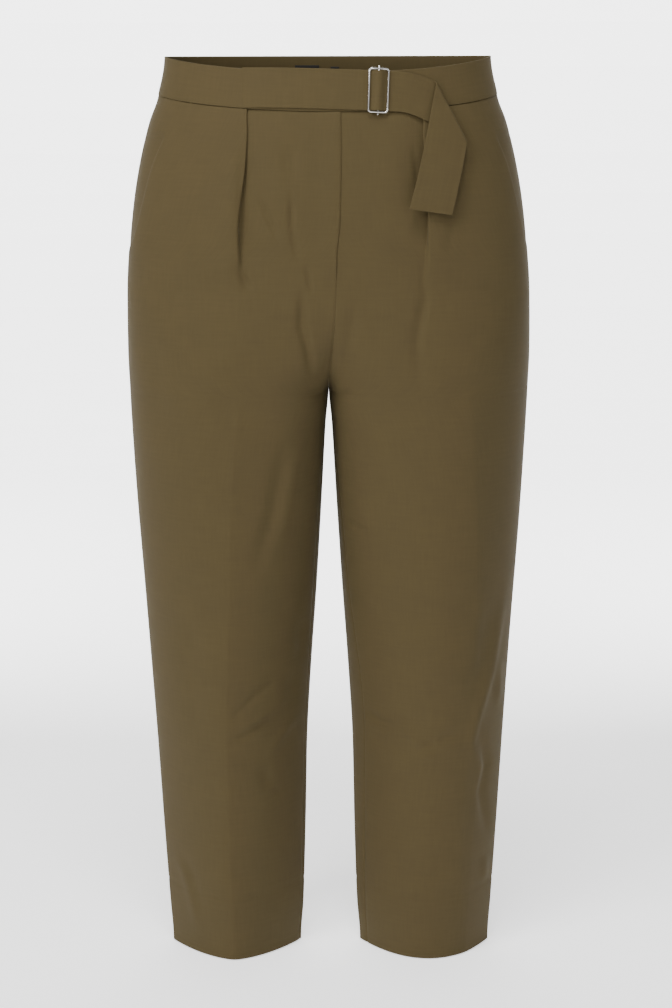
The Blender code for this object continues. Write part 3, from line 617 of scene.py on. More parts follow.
BACK_RIGHT_CREASES = [
    # Drags under the seat, from the crotch outwards.
    Crease(((-0.016, -0.300), (-0.050, -0.325), (-0.100, -0.335)), 9 * MM, -2.8 * MM),
    Crease(((-0.024, -0.370), (-0.070, -0.390), (-0.125, -0.385)), 9 * MM, -2.5 * MM),
    Crease(((-0.030, -0.405), (-0.075, -0.435)), 9 * MM, 1.6 * MM),
    # The pressed crease at the back.
    Crease(((-0.104, -0.370), (-0.105, -0.560), (-0.107, -0.760), (-0.106, -0.985)), 9 * MM, 1.6 * MM,
           CreaseKind.PRESSED, fade=0.12),
    # Behind the knee.
    Crease(((-0.050, -0.640), (-0.095, -0.655), (-0.150, -0.640)), 7 * MM, -2.5 * MM),
    Crease(((-0.045, -0.672), (-0.100, -0.680), (-0.160, -0.668)), 7 * MM, 1.9 * MM),
    Crease(((-0.055, -0.698), (-0.100, -0.708), (-0.145, -0.700)), 7 * MM, -2.3 * MM),
    Crease(((-0.140, -0.880), (-0.150, -0.950)), 7 * MM, 1.4 * MM),
]

UNEVENNESS = 0.45         # how far the cloth wanders from its smooth form, in millimetres
WANDER = ((17.0, 6.0, 0.4), (-9.0, 14.0, 1.9), (31.0, -11.0, 3.1), (23.0, 27.0, 5.0))


def wandering(x: Points, z: Points) -> Points:
    """Find the slight unevenness of hanging cloth.

    Args:
        x: Places across the garment.
        z: Heights.

    Returns:
        Heights to add over the surface.
    """
    total = sum(np.sin(x * u + z * v + phase) for u, v, phase in WANDER)
    return total * UNEVENNESS * MM / len(WANDER)


# ---- Finishes ------------------------------------------------------------------------------------

def linear(hex_colour: str) -> tuple[float, float, float, float]:
    """Turn an sRGB hex colour into the linear colour that shaders take.

    Args:
        hex_colour: Six hex digits.

    Returns:
        Red, green, blue and an alpha of 1.
    """
    parts = [int(hex_colour[i:i + 2], 16) / 255 for i in (0, 2, 4)]
    light = [p / 12.92 if p <= 0.04045 else ((p + 0.055) / 1.055) ** 2.4 for p in parts]
    return (*light, 1.0)


def add_node(tree: bpy.types.NodeTree, kind: str, inputs: dict | None = None,
             **settings: object) -> bpy.types.Node:
    """Add one shader node.

    Args:
        tree: The material's node tree.
        kind: The node's type.
        inputs: Values, or output sockets to link from, by socket name or number.
        **settings: The node's own properties.

    Returns:
        The node.
    """
    node = tree.nodes.new(kind)
    for name, value in settings.items():
        setattr(node, name, value)
    for key, value in (inputs or {}).items():
        if isinstance(value, bpy.types.NodeSocket):
            tree.links.new(value, node.inputs[key])
        else:
            node.inputs[key].default_value = value
    return node


def maths(tree: bpy.types.NodeTree, operation: str, *values: object) -> bpy.types.NodeSocket:
    """Add a sum.

    Args:
        tree: The material's node tree.
        operation: The Math node's operation.
        *values: Numbers or sockets, in order.

    Returns:
        The sum's output.
    """
    return add_node(tree, "ShaderNodeMath", dict(enumerate(values)), operation=operation).outputs[0]


@dataclass(frozen=True)
class TwillFinish:
    """A fine cotton twill: diagonal wales, uneven yarn, soft mottling and a slight sheen."""

    name: str
    colour: str
    roughness: float = 0.82
    sheen: float = 0.03
    wale: float = 0.0011       # real wales are about 0.6 mm apart: drawn coarser, so that they hold
    slope: float = 2.0         # the wales climb this steeply
    yarn: float = 0.0007
    mottle: float = 0.045
    relief: float = 0.00006
    shade: float = 0.06        # how much darker the cloth is between wales
    blotch: float = 0.08       # how far the dye varies over the cloth
    slub: float = 0.22         # how far thicker and thinner yarns show
    warp_slub: tuple[float, float] = (480.0, 34.0)   # streaks a metre, across and along the warp
    weft_slub: tuple[float, float] = (30.0, 420.0)

    def build(self) -> bpy.types.Material:
        """Make the material.

        Returns:
            The material, which reads the piece's own flat-cut UV map, in metres.
        """
        material = bpy.data.materials.new(self.name)
        material.use_nodes = True
        tree = material.node_tree
        shader = tree.nodes["Principled BSDF"]
        cut = add_node(tree, "ShaderNodeUVMap", uv_map="cut").outputs[0]
        place = add_node(tree, "ShaderNodeSeparateXYZ", {0: cut})
        rise = maths(tree, "MULTIPLY", place.outputs["Y"], 1.0 / self.slope)
        diagonal = maths(tree, "ADD", place.outputs["X"], rise)
        phase = maths(tree, "MULTIPLY", diagonal, 2.0 * math.pi / self.wale)
        wales = maths(tree, "MULTIPLY_ADD", maths(tree, "SINE", phase), 0.5, 0.5)
        slubs = 0.0
        for stretch in (self.warp_slub, self.weft_slub):
            stretched = add_node(tree, "ShaderNodeVectorMath", {0: cut, 1: (*stretch, 1.0)},
                                 operation="MULTIPLY")
            streak = add_node(tree, "ShaderNodeTexNoise", {
                "Vector": stretched.outputs[0], "Scale": 1.0, "Detail": 3.0, "Roughness": 0.6})
            slubs = maths(tree, "ADD", streak.outputs["Fac"], slubs)
        yarn = add_node(tree, "ShaderNodeTexNoise", {
            "Vector": cut, "Scale": 1.0 / self.yarn, "Detail": 2.0, "Roughness": 0.6})
        dye = add_node(tree, "ShaderNodeTexNoise", {
            "Vector": cut, "Scale": 1.0 / self.mottle, "Detail": 4.0, "Roughness": 0.55})
        uneven = maths(tree, "MULTIPLY_ADD", dye.outputs["Fac"], 2.0 * self.blotch, 1.0 - self.blotch)
        weave = maths(tree, "MULTIPLY", wales, yarn.outputs["Fac"])
        depth = maths(tree, "MULTIPLY_ADD", weave, self.shade, 1.0 - self.shade / 2)
        streaky = maths(tree, "MULTIPLY_ADD", slubs, self.slub, 1.0 - self.slub)
        value = maths(tree, "MULTIPLY", maths(tree, "MULTIPLY", uneven, streaky), depth)
        dyed = add_node(tree, "ShaderNodeVectorMath", {
            0: linear(self.colour)[:3], 3: value}, operation="SCALE")
        tree.links.new(dyed.outputs[0], shader.inputs["Base Color"])
        rough = maths(tree, "MULTIPLY_ADD", dye.outputs["Fac"], 0.10, self.roughness - 0.05)
        tree.links.new(rough, shader.inputs["Roughness"])
        shader.inputs["Sheen Weight"].default_value = self.sheen
        shader.inputs["Sheen Roughness"].default_value = 0.45
        shader.inputs["Sheen Tint"].default_value = linear("E6DCC0")
        shader.inputs["Specular IOR Level"].default_value = 0.15
        threads = maths(tree, "MULTIPLY_ADD", yarn.outputs["Fac"], 0.6, wales)
        bump = add_node(tree, "ShaderNodeBump", {
            "Height": threads, "Strength": 0.45, "Distance": self.relief})
        tree.links.new(bump.outputs[0], shader.inputs["Normal"])
        return material


@dataclass(frozen=True)
class ChromeFinish:
    """Bright polished wire, with fine handling marks."""

    name: str = "polished_steel_wire"
    colour: str = "C6C3BE"
    roughness: float = 0.13
    marks: float = 0.0012

    def build(self) -> bpy.types.Material:
        """Make the material.

        Returns:
            The material, which reads the piece's own coordinates.
        """
        material = bpy.data.materials.new(self.name)
        material.use_nodes = True
        tree = material.node_tree
        shader = tree.nodes["Principled BSDF"]
        shader.inputs["Base Color"].default_value = linear(self.colour)
        shader.inputs["Metallic"].default_value = 1.0
        place = add_node(tree, "ShaderNodeTexCoord").outputs["Object"]
        noise = add_node(tree, "ShaderNodeTexNoise", {
            "Vector": place, "Scale": 1.0 / self.marks, "Detail": 3.0})
        rough = maths(tree, "MULTIPLY_ADD", noise.outputs["Fac"], 0.12, self.roughness - 0.06)
        tree.links.new(rough, shader.inputs["Roughness"])
        bump = add_node(tree, "ShaderNodeBump", {
            "Height": noise.outputs["Fac"], "Strength": 0.15, "Distance": 0.00003})
        tree.links.new(bump.outputs[0], shader.inputs["Normal"])
        return material


@dataclass(frozen=True)
class PlainFinish:
    """A plain pale studio surface, which can carry a painted glow of its own."""

    name: str
    colour: str
    roughness: float = 0.9
    painted_glow: float = 0.0          # painted glow: the paper gives off light of its own, with no lamp behind it, to brighten the floor and backdrop and, a little, the garment

    def build(self) -> bpy.types.Material:
        """Make the material.

        Returns:
            The material.
        """
        material = bpy.data.materials.new(self.name)
        material.use_nodes = True
        shader = material.node_tree.nodes["Principled BSDF"]
        shader.inputs["Base Color"].default_value = linear(self.colour)
        shader.inputs["Roughness"].default_value = self.roughness
        # Painted glow: the paper's own emission, in its own colour, so that it lights itself with no lamp.
        shader.inputs["Emission Color"].default_value = linear(self.colour)
        shader.inputs["Emission Strength"].default_value = self.painted_glow
        return material


CLOTH = TwillFinish("khaki_cotton_twill", "433922")           # the garment's own cotton twill
LABEL_CLOTH = TwillFinish("black_woven_label", "1C1B19", roughness=0.6, sheen=0.05, wale=0.0008,
                          slope=40.0, relief=0.00004)         # a plain satin-woven label tape
WIRE = ChromeFinish()
# The paper carries a painted glow, an emission that brightens the floor and backdrop and bounces a little
# onto the garment.
BACKDROP = PlainFinish("white_studio_paper", "F4F4F4", painted_glow=0.9)


class Palette:
    """The materials, each made once."""

    def __init__(self) -> None:
        """Make the materials."""
        self.cloth = CLOTH.build()
        self.label = LABEL_CLOTH.build()
        self.wire = WIRE.build()
        self.backdrop = BACKDROP.build()


# ---- Meshes --------------------------------------------------------------------------------------

def new_piece(name: str, points: Points, faces: list, cut: Points | None, finish: bpy.types.Material,
              smooth_angle: float = 40.0) -> bpy.types.Object:
    """Make a mesh piece with faces outward and smooth shading.

    Args:
        name: The piece's name.
        points: Points, one a row.
        faces: Rings of point numbers.
        cut: Each point's place on the flat cut, in metres.
        finish: The material.
        smooth_angle: Edges sharper than this stay sharp, in degrees.

    Returns:
        The piece.
    """
    mesh = bpy.data.meshes.new(name)
    mesh.from_pydata(points.tolist(), [], faces)
    mesh.validate()
    if signed_volume(mesh) < 0.0:
        mesh.flip_normals()
    if cut is not None:
        corners = np.zeros(len(mesh.loops), int)
        mesh.loops.foreach_get("vertex_index", corners)
        layer = mesh.uv_layers.new(name="cut")
        layer.data.foreach_set("uv", cut[corners].ravel())
    mesh.materials.append(finish)
    piece = bpy.data.objects.new(name, mesh)
    bpy.context.scene.collection.objects.link(piece)
    bpy.ops.object.select_all(action="DESELECT")
    piece.select_set(True)
    bpy.context.view_layer.objects.active = piece
    bpy.ops.object.shade_smooth_by_angle(angle=math.radians(smooth_angle))
    return piece


def signed_volume(mesh: bpy.types.Mesh) -> float:
    """Measure the volume inside a mesh.

    Args:
        mesh: A closed mesh.

    Returns:
        Its volume, negative where the faces look inwards.
    """
    mesh.calc_loop_triangles()
    corners = np.zeros(len(mesh.loop_triangles) * 3, int)
    mesh.loop_triangles.foreach_get("vertices", corners)
    places = np.zeros(len(mesh.vertices) * 3)
    mesh.vertices.foreach_get("co", places)
    a, b, c = places.reshape(-1, 3)[corners.reshape(-1, 3)].transpose(1, 0, 2)
    return float(np.sum(a * np.cross(b, c)) / 6.0)


def grid_faces(rows: int, columns: int, start: int = 0) -> list:
    """List a grid's quads.

    Args:
        rows: Rows of points.
        columns: Points in a row.
        start: Number of the first point.

    Returns:
        Rings of four point numbers.
    """
    first = (np.arange(rows - 1)[:, None] * columns + np.arange(columns - 1)[None, :] + start).ravel()
    return np.stack([first, first + 1, first + 1 + columns, first + columns], axis=1).tolist()


def wall_piece(name: str, outer: Points, inner: Points, cut: Points,
               finish: bpy.types.Material) -> bpy.types.Object:
    """Make a closed wall between an outer and an inner grid.

    Args:
        name: The piece's name.
        outer: The outer grid, rows by columns by 3.
        inner: The inner grid.
        cut: Places on the flat cut, rows by columns by 2.
        finish: The material.

    Returns:
        The piece.
    """
    rows, columns = outer.shape[:2]
    count = rows * columns
    points = np.concatenate([outer.reshape(-1, 3), inner.reshape(-1, 3)])
    flat = np.concatenate([cut.reshape(-1, 2), cut.reshape(-1, 2)])
    faces = grid_faces(rows, columns)
    faces += [ring[::-1] for ring in grid_faces(rows, columns, count)]
    rim = list(range(columns))
    rim += [r * columns + columns - 1 for r in range(1, rows)]
    rim += [(rows - 1) * columns + c for c in range(columns - 2, -1, -1)]
    rim += [r * columns for r in range(rows - 2, 0, -1)]
    faces += [[b, a, a + count, b + count] for a, b in zip(rim, rim[1:] + rim[:1])]
    return new_piece(name, points, faces, flat, finish)


def loft_piece(name: str, loops: Points, cut: Points, finish: bpy.types.Material) -> bpy.types.Object:
    """Make a closed strip from loops of points round it.

    Args:
        name: The piece's name.
        loops: Stations by loop points by 3.
        cut: Places on the flat cut, stations by loop points by 2.
        finish: The material.

    Returns:
        The piece, with its two ends closed.
    """
    stations, around = loops.shape[:2]
    faces = []
    for s in range(stations - 1):
        for k in range(around):
            a, b = s * around + k, s * around + (k + 1) % around
            faces.append([a, b, b + around, a + around])
    faces.append(list(range(around))[::-1])
    faces.append(list(range((stations - 1) * around, stations * around)))
    return new_piece(name, loops.reshape(-1, 3), faces, cut.reshape(-1, 2), finish)


def finish_sheet(piece: bpy.types.Object, node: str) -> None:
    """Put a sheet of cloth in the frame.

    Args:
        piece: The piece.
        node: The frame's node that it stands for.
    """
    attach(piece, BODY)
    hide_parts(node)


# ---- Leg panels ----------------------------------------------------------------------------------

def spread(start: Points, end: Points, count: int, scale: Points,
           near_start: bool = True, near_end: bool = True) -> Points:
    """Lay columns between two edges, closer together beside a sewn one.

    Args:
        start: Each row's first angle.
        end: Each row's last angle.
        count: How many even columns there are between.
        scale: Metres for each radian, in each row.
        near_start: Whether the first edge is sewn.
        near_end: Whether the last one is.

    Returns:
        Angles, rows by columns.
    """
    lead = [start + s / scale for s in EDGE_STEPS] if near_start else [start]
    trail = [end - s / scale for s in reversed(EDGE_STEPS)] if near_end else [end]
    low, high = lead[-1], trail[0]
    middle = [low + (high - low) * i / count for i in range(1, count)]
    return np.stack(lead + middle + trail, axis=1)


def panel_rows(sizes: GarmentSizes) -> Points:
    """List the heights of a panel's rows.

    Args:
        sizes: The garment's main sizes.

    Returns:
        Heights from the waist seam to the hem, closer where the cloth turns under the crotch.
    """
    top, crotch, hem = -sizes.band_height, sizes.crotch_z, -sizes.length
    down = np.linspace(0.0, 1.0, int((top - crotch) / ROW_STEP) + 1)
    above = crotch + (top - crotch) * (1.0 - down) ** 1.18
    above[0], above[-1] = top, crotch
    fly = int(np.argmin(np.abs(above - sizes.fly_bottom_z)))
    above[fly] = sizes.fly_bottom_z
    below = np.linspace(crotch, hem, int((crotch - hem) / ROW_STEP) + 1)[1:-1]
    last = hem + np.array([0.0012, 0.0004, 0.0])
    edge = top - np.array(EDGE_STEPS[1:])
    return np.concatenate([above[:1], edge, above[2:], below, last])


def beside_pocket(from_edge: Points) -> Points:
    """Find how near a place is to the pocket's edge.

    Args:
        from_edge: Distances from it.

    Returns:
        1 at the edge, 0 where the panel has its full thickness.
    """
    return 1.0 - smoothstep(from_edge / POCKET_THIN_REACH)


class LegPanel:
    """A whole front or back of a leg, from the waist seam to the hem."""

    def __init__(self, form: GarmentForm, side: Side, at_front: bool, creases: Sequence[Crease]) -> None:
        """Keep the panel's facts.

        Args:
            form: The garment's surface.
            side: Which leg.
            at_front: Whether it is the front panel.
            creases: Its creases.
        """
        self.form = form
        self.side = side
        self.at_front = at_front
        self.creases = creases
        self.rows = panel_rows(form.sizes)

    def pleat_path(self, steps: int = 7) -> tuple[Points, Points, Points]:
        """Lay the pleat's section in every row, from the cloth under it to the cloth on top.

        Args:
            steps: Chords in each of its two turns.

        Returns:
            Distances from the top layer's start, heights and directions, rows by points.
        """
        z = self.rows
        sizes = self.form.sizes
        turn = np.radians(PLEAT_TURN(z))
        arc = math.pi * (sizes.cloth + sizes.layer_gap) / 2
        safe = np.maximum(turn, FLAT_TURN)
        chord = np.where(turn > FLAT_TURN, 2.0 * (arc / safe) * np.sin(safe / (2 * steps)), arc / steps)
        bends = [turn * (i + 0.5) / steps for i in range(steps)]
        segments = [(chord, bend) for bend in bends]
        segments += [(PLEAT_UNDER(z) / PLEAT_UNDER_STEPS, turn)] * PLEAT_UNDER_STEPS
        segments += [(chord, bend) for bend in reversed(bends)]
        rising = [turn * i / steps for i in range(steps + 1)]
        tangents = rising + [turn] * (PLEAT_UNDER_STEPS - 1) + rising[::-1]
        along, height = [np.zeros_like(z)], [np.zeros_like(z)]
        for length, direction in segments:
            along.append(along[-1] + length * np.cos(direction))
            height.append(height[-1] + length * np.sin(direction))
        proud = PLEAT_PROUD(z) * height[-1]
        distance = np.stack([s - along[-1] for s in along], axis=1)
        lift = np.stack([h - height[-1] + proud for h in height], axis=1)
        return distance, lift, np.stack(tangents, axis=1)

    def swell(self, distance: Points, height: Points) -> Points:
        """Ease a height back to the surface beside the pleat.

        Args:
            distance: Distances from the pleat.
            height: The height at the pleat.

        Returns:
            Heights.
        """
        return height * (1.0 - smoothstep(distance / self.form.sizes.pleat_reach))

    def front_layout(self) -> tuple[Points, Points, Points, Points]:
        """Lay out a front panel.

        Returns:
            Outer angles and heights, then inner angles and heights, rows by columns.
        """
        form, sizes, z = self.form, self.form.sizes, self.rows
        laps = self.side is Side.RIGHT
        lap, lift = np.zeros_like(z), np.zeros_like(z)
        if laps:
            above_fly = z - sizes.fly_bottom_z
            lap = sizes.fly_lap * smoothstep(above_fly / sizes.lap_fade)
            lift = (sizes.cloth + sizes.seam_gap) * smoothstep(above_fly / sizes.fly_fade + 1.0)
        seam = -HALF_TURN + LEGS[self.side].inseam_turn(z)
        start = np.where(z >= sizes.crotch_z, form.angle_at(z, -lap), seam)
        end = np.where(z > sizes.pocket_end_z, np.minimum(POCKET_EDGE(z), HALF_TURN), HALF_TURN)
        distance, lifts, tangents = self.pleat_path()
        top = form.angle_at(z, LEGS[self.side].fold_x(z))
        scale = form.metric(self.side, top, z)
        top = top + (sizes.cloth + sizes.layer_gap) / scale
        under = top + distance[:, 0] / scale
        inner_part = spread(start, under, 46, scale, near_end=False)[:, :-1]
        outer_part = spread(top, end, 40, scale, near_start=False)[:, 1:]
        wall = sizes.cloth
        inner_heights = self.swell((under[:, None] - inner_part) * scale[:, None], lifts[:, :1])
        from_fly = (inner_part - start[:, None]) * scale[:, None]
        inner_heights = inner_heights + lift[:, None] * (1.0 - smoothstep(from_fly / sizes.fly_fade))
        outer_heights = self.swell((outer_part - top[:, None]) * scale[:, None], lifts[:, -1:])
        sideways = wall / 2 * np.sin(tangents)
        upright = wall / 2 * np.cos(tangents)
        path_out = top[:, None] + (distance - sideways) / scale[:, None]
        path_in = top[:, None] + (distance + sideways) / scale[:, None]
        thin = self.wall_at_pocket(z, (end[:, None] - outer_part) * scale[:, None])
        angles_o = np.concatenate([inner_part, path_out, outer_part], axis=1)
        angles_i = np.concatenate([inner_part, path_in, outer_part], axis=1)
        heights_o = np.concatenate([inner_heights, lifts - wall / 2 + upright, outer_heights], axis=1)
        heights_i = np.concatenate([inner_heights - wall, lifts - wall / 2 - upright,
                                    outer_heights - thin], axis=1)
        return angles_o, heights_o, angles_i, heights_i

    def closed_pocket(self, z: Points) -> Points:
        """Find where the pocket's opening is sewn shut.

        Args:
            z: Heights.

        Returns:
            1 above its bar, 0 below it.
        """
        return smoothstep((z - self.form.sizes.pocket_bar_z) / POCKET_BAR_FADE + 0.5)

    def wall_at_pocket(self, z: Points, from_edge: Points) -> Points:
        """Find the wall's thickness beside the pocket, where it is closed above the bar.

        Args:
            z: Heights of the rows.
            from_edge: Distances from the panel's outer edge.

        Returns:
            Thicknesses, rows by columns.
        """
        closed = self.closed_pocket(z)[:, None]
        return self.form.sizes.cloth * (1.0 - POCKET_THINNING * closed * beside_pocket(from_edge))

    def back_layout(self) -> tuple[Points, Points, Points, Points]:
        """Lay out a back panel.

        Returns:
            Outer angles and heights, then inner angles and heights, rows by columns.
        """
        form, sizes, z = self.form, self.form.sizes, self.rows
        centre, half = form.leg_section(z)
        seat = math.pi + np.arcsin(np.clip(centre / half, -1.0, 1.0))
        inseam = 3 * HALF_TURN + LEGS[self.side].inseam_turn(z)
        end = np.where(z >= sizes.crotch_z, seat, inseam)
        start = np.full_like(z, HALF_TURN)
        scale = form.metric(self.side, np.full_like(z, math.pi), z)
        angles = spread(start, end, 88, scale)
        heights = np.zeros_like(angles)
        return angles, heights, angles, heights - sizes.cloth

    def relief(self, x: Points, z: Points) -> Points:
        """Add up the panel's creases.

        Args:
            x: Places across the garment.
            z: Heights.

        Returns:
            Heights to add over the surface.
        """
        total = wandering(x, z)
        for crease in self.creases:
            total = total + crease.relief(x, z)
        return total

    def crotch_normal(self, z: Points) -> Points:
        """Find the normals of the seam that runs over the crotch, between the legs.

        Args:
            z: Heights.

        Returns:
            Unit vectors in the middle plane.
        """
        form, sizes = self.form, self.form.sizes

        def seam_y(height: Points) -> Points:
            centre, half = form.leg_section(height)
            angle = -np.arcsin(np.clip(centre / half, -1.0, 1.0))
            if not self.at_front:
                angle = math.pi - angle
            return form.surface(self.side, angle, height)[..., 1]

        low, high = np.maximum(z - HEIGHT_STEP, sizes.crotch_z), z + HEIGHT_STEP
        lean = (seam_y(low) - seam_y(high)) / (high - low)
        facing = -1.0 if self.at_front else 1.0
        normal = unit(np.stack([np.zeros_like(z), np.full_like(z, facing), facing * lean], axis=-1))
        return np.where((z <= sizes.crotch_z + NEAR)[..., None], np.array([0.0, 0.0, -1.0]), normal)

    def place(self, angles: Points, heights: Points, relief: Points) -> Points:
        """Turn angles and heights into points, and draw the sewn edges in for the seams' gap.

        Args:
            angles: Rows by columns.
            heights: Rows by columns, over the surface.
            relief: Creases, rows by columns.

        Returns:
            Points, rows by columns by 3.
        """
        form, sizes, side = self.form, self.form.sizes, self.side
        z = form.dropped(self.rows[:, None], angles)
        points = form.lifted(side, angles, z, heights + relief)
        half_gap = HAIR / 2
        middle = 0 if self.at_front else angles.shape[1] - 1
        seam = angles.shape[1] - 1 if self.at_front else 0
        above = self.rows >= sizes.crotch_z - NEAR
        lapping = np.zeros_like(above)
        if self.at_front and side is Side.RIGHT:
            lapping = self.rows > sizes.fly_bottom_z + NEAR
        edge_z = z[:, middle]
        edge = form.surface(side, angles[:, middle], edge_z)
        normal = self.crotch_normal(edge_z)
        edge = edge + normal * heights[:, middle, None]
        edge[:, 0] += side.sign * half_gap
        ahead = -half_gap if self.at_front else half_gap
        edge[:, 1] += np.where(self.rows <= sizes.crotch_z + NEAR, ahead, 0)
        pull = form.around(side, angles[:, middle], self.rows) * half_gap
        pulled = points[:, middle] + (pull if self.at_front else -pull)
        joined = (above & ~lapping)[:, None]
        points[:, middle] = np.where(joined, edge, np.where(above[:, None], points[:, middle], pulled))
        tug = form.around(side, np.full_like(self.rows, HALF_TURN), z[:, seam]) * half_gap
        sewn = (self.rows <= sizes.pocket_end_z + NEAR) | (not self.at_front)
        points[:, seam] += np.where(sewn[:, None], -tug if self.at_front else tug, 0.0)
        points[0, :, 2] -= sizes.seam_gap
        return points

    def build(self, finish: bpy.types.Material) -> bpy.types.Object:
        """Make the panel.

        Args:
            finish: The cloth.

        Returns:
            The piece.
        """
        form, sizes = self.form, self.form.sizes
        layout = self.front_layout() if self.at_front else self.back_layout()
        angles_o, heights_o, angles_i, heights_i = layout
        z = np.broadcast_to(self.rows[:, None], angles_o.shape)
        base = form.surface(self.side, angles_o, z)
        steps = np.linalg.norm(np.diff(base, axis=1), axis=-1)
        across = np.concatenate([np.zeros((len(z), 1)), np.cumsum(steps, axis=1)], axis=1)
        to_end = across[:, -1:] - across
        edges = np.minimum(across, to_end)
        below_band = -sizes.band_height - z
        held = smoothstep(edges / CREASE_HOLD) * smoothstep(below_band / BAND_HOLD)
        relief = self.relief(base[..., 0], z) * held
        closed = self.closed_pocket(self.rows)[:, None] if self.at_front else 0.0
        roll = np.exp(-across / SEAM_ROLL_REACH) + np.exp(-to_end / SEAM_ROLL_REACH) * (1.0 - closed)
        roll += np.exp(-below_band / SEAM_ROLL_REACH)
        relief = relief - SEAM_ROLL * np.minimum(roll, 1.0)
        above_hem = z + sizes.length - sizes.hem_turn
        hem = smoothstep(above_hem / -HEM_START)
        relief = relief - HEM_MARK * np.exp(-(above_hem / HEM_MARK_WIDTH) ** 2)
        outer = self.place(angles_o, heights_o, relief)
        inner = self.place(angles_i, heights_i - hem * sizes.cloth * HEM_CLOTH, relief)
        cut = np.stack([across - across[:, -1:] / 2, z], axis=-1)
        where = "front" if self.at_front else "back"
        return wall_piece(f"{where}_{self.side.value}_cloth", outer, inner, cut, finish)


def build_facing(form: GarmentForm, side: Side, finish: bpy.types.Material) -> bpy.types.Object:
    """Make the cloth behind a pocket's opening.

    Args:
        form: The garment's surface.
        side: Which leg.
        finish: The cloth.

    Returns:
        The piece.
    """
    sizes = form.sizes
    under, open_columns = 8, 17
    rows = panel_rows(sizes)
    rows = rows[rows > sizes.pocket_end_z + FACING_END]
    edge = POCKET_EDGE(rows)
    scale = form.metric(side, edge, rows)
    closed = smoothstep((rows - sizes.pocket_bar_z) / POCKET_BAR_FADE + 0.5)[:, None]
    reach = sizes.facing_under * (1.0 - closed) + FACING_UNDER_CLOSED * closed
    last = np.where(HALF_TURN - edge > FACING_SLIVER, HALF_TURN, edge)[:, None]
    from_edge = reach * (1.0 - np.linspace(0.0, 1.0, under + 1)[None, :-1])
    hidden = edge[:, None] - from_edge / scale[:, None]
    shown = edge[:, None] + (last - edge[:, None]) * smoothstep(np.linspace(0.0, 1.0, open_columns))[None, :]
    angles = np.concatenate([hidden, shown], axis=1)
    from_edge = np.concatenate([from_edge, np.zeros_like(shown)], axis=1)
    rise = 1.0 - smoothstep(np.linspace(-0.2, 1.0, open_columns))[None, :]
    rise = np.concatenate([np.ones((1, under)), rise], axis=1)
    snug = sizes.cloth * (1.0 - POCKET_THINNING * beside_pocket(from_edge)) + HAIR
    heights = -rise * (sizes.facing_depth * (1.0 - closed) + snug * closed)
    z = form.dropped(rows[:, None], angles)
    outer = form.lifted(side, angles, z, heights)
    inner = form.lifted(side, angles, z, heights - sizes.cloth * FACING_THICKNESS)
    tug = form.around(side, last[:, 0], rows) * HAIR / 2
    for grid in (outer, inner):
        grid[:, -1] -= tug
        grid[0, :, 2] -= sizes.seam_gap
    across = (angles - angles[:, :1]) * scale[:, None]
    cut = np.stack([across, z], axis=-1)
    return wall_piece(f"pocket_facing_{side.value}_cloth", outer, inner, cut, finish)


# ---- Waistband -----------------------------------------------------------------------------------

def band_profile(wall: float, height: float, steps: int = 26) -> Points:
    """Lay the closed outline of the waistband's section.

    Args:
        wall: Its thickness.
        height: Its height.
        steps: Points down each face.

    Returns:
        (height over the surface from its outer face, distance down) for each point.
    """
    round_top = wall / 2
    down = np.linspace(round_top, height, steps)
    outer = [(0.0, s) for s in down]
    inner = [(-wall, s) for s in down[::-1]]
    turns = np.linspace(math.pi, 0.0, 9)[1:-1]
    top = [(-round_top + round_top * math.cos(a), round_top - round_top * math.sin(a)) for a in turns]
    return np.array(outer + inner + top)


def build_band(form: GarmentForm, name: str, stations: Sequence[tuple[Side, float, float]],
               finish: bpy.types.Material) -> bpy.types.Object:
    """Make a stretch of the waistband.

    Args:
        form: The garment's surface.
        name: The piece's name.
        stations: The side, angle and seam allowance of each station.
        finish: The cloth.

    Returns:
        The piece.
    """
    sizes = form.sizes
    profile = band_profile(sizes.band_wall, sizes.band_height)
    from_edge = np.minimum(profile[:, 1], sizes.band_height - profile[:, 1])
    depth, inset, width = BAND_GROOVE
    sunk = depth * np.exp(-((from_edge - inset) / width) ** 2)
    on_outside = profile[:, 0] > -1e-9
    rolled = BAND_ROLL * np.exp(-(sizes.band_height - profile[:, 1]) / SEAM_ROLL_REACH)
    loops, cuts, run, previous = [], [], 0.0, None
    for side, angle, pull in stations:
        turn = np.full(len(profile), angle)
        z = -form.dip(turn) - profile[:, 1]
        uneven = wandering(np.full(len(profile), side.sign * angle * BAND_SPAN), z) * BAND_WANDER
        height = sizes.band_proud + profile[:, 0] + uneven
        height = height - np.where(on_outside, sunk + rolled, 0.0)
        points = form.lifted(side, turn, z, height) + form.around(side, turn, z) * pull
        if previous is not None:
            run += float(np.linalg.norm(points[0] - previous))
        previous = points[0]
        loops.append(points)
        cuts.append(np.stack([np.full(len(profile), run), -profile[:, 1]], axis=-1))
    return loft_piece(name, np.array(loops), np.array(cuts), finish)


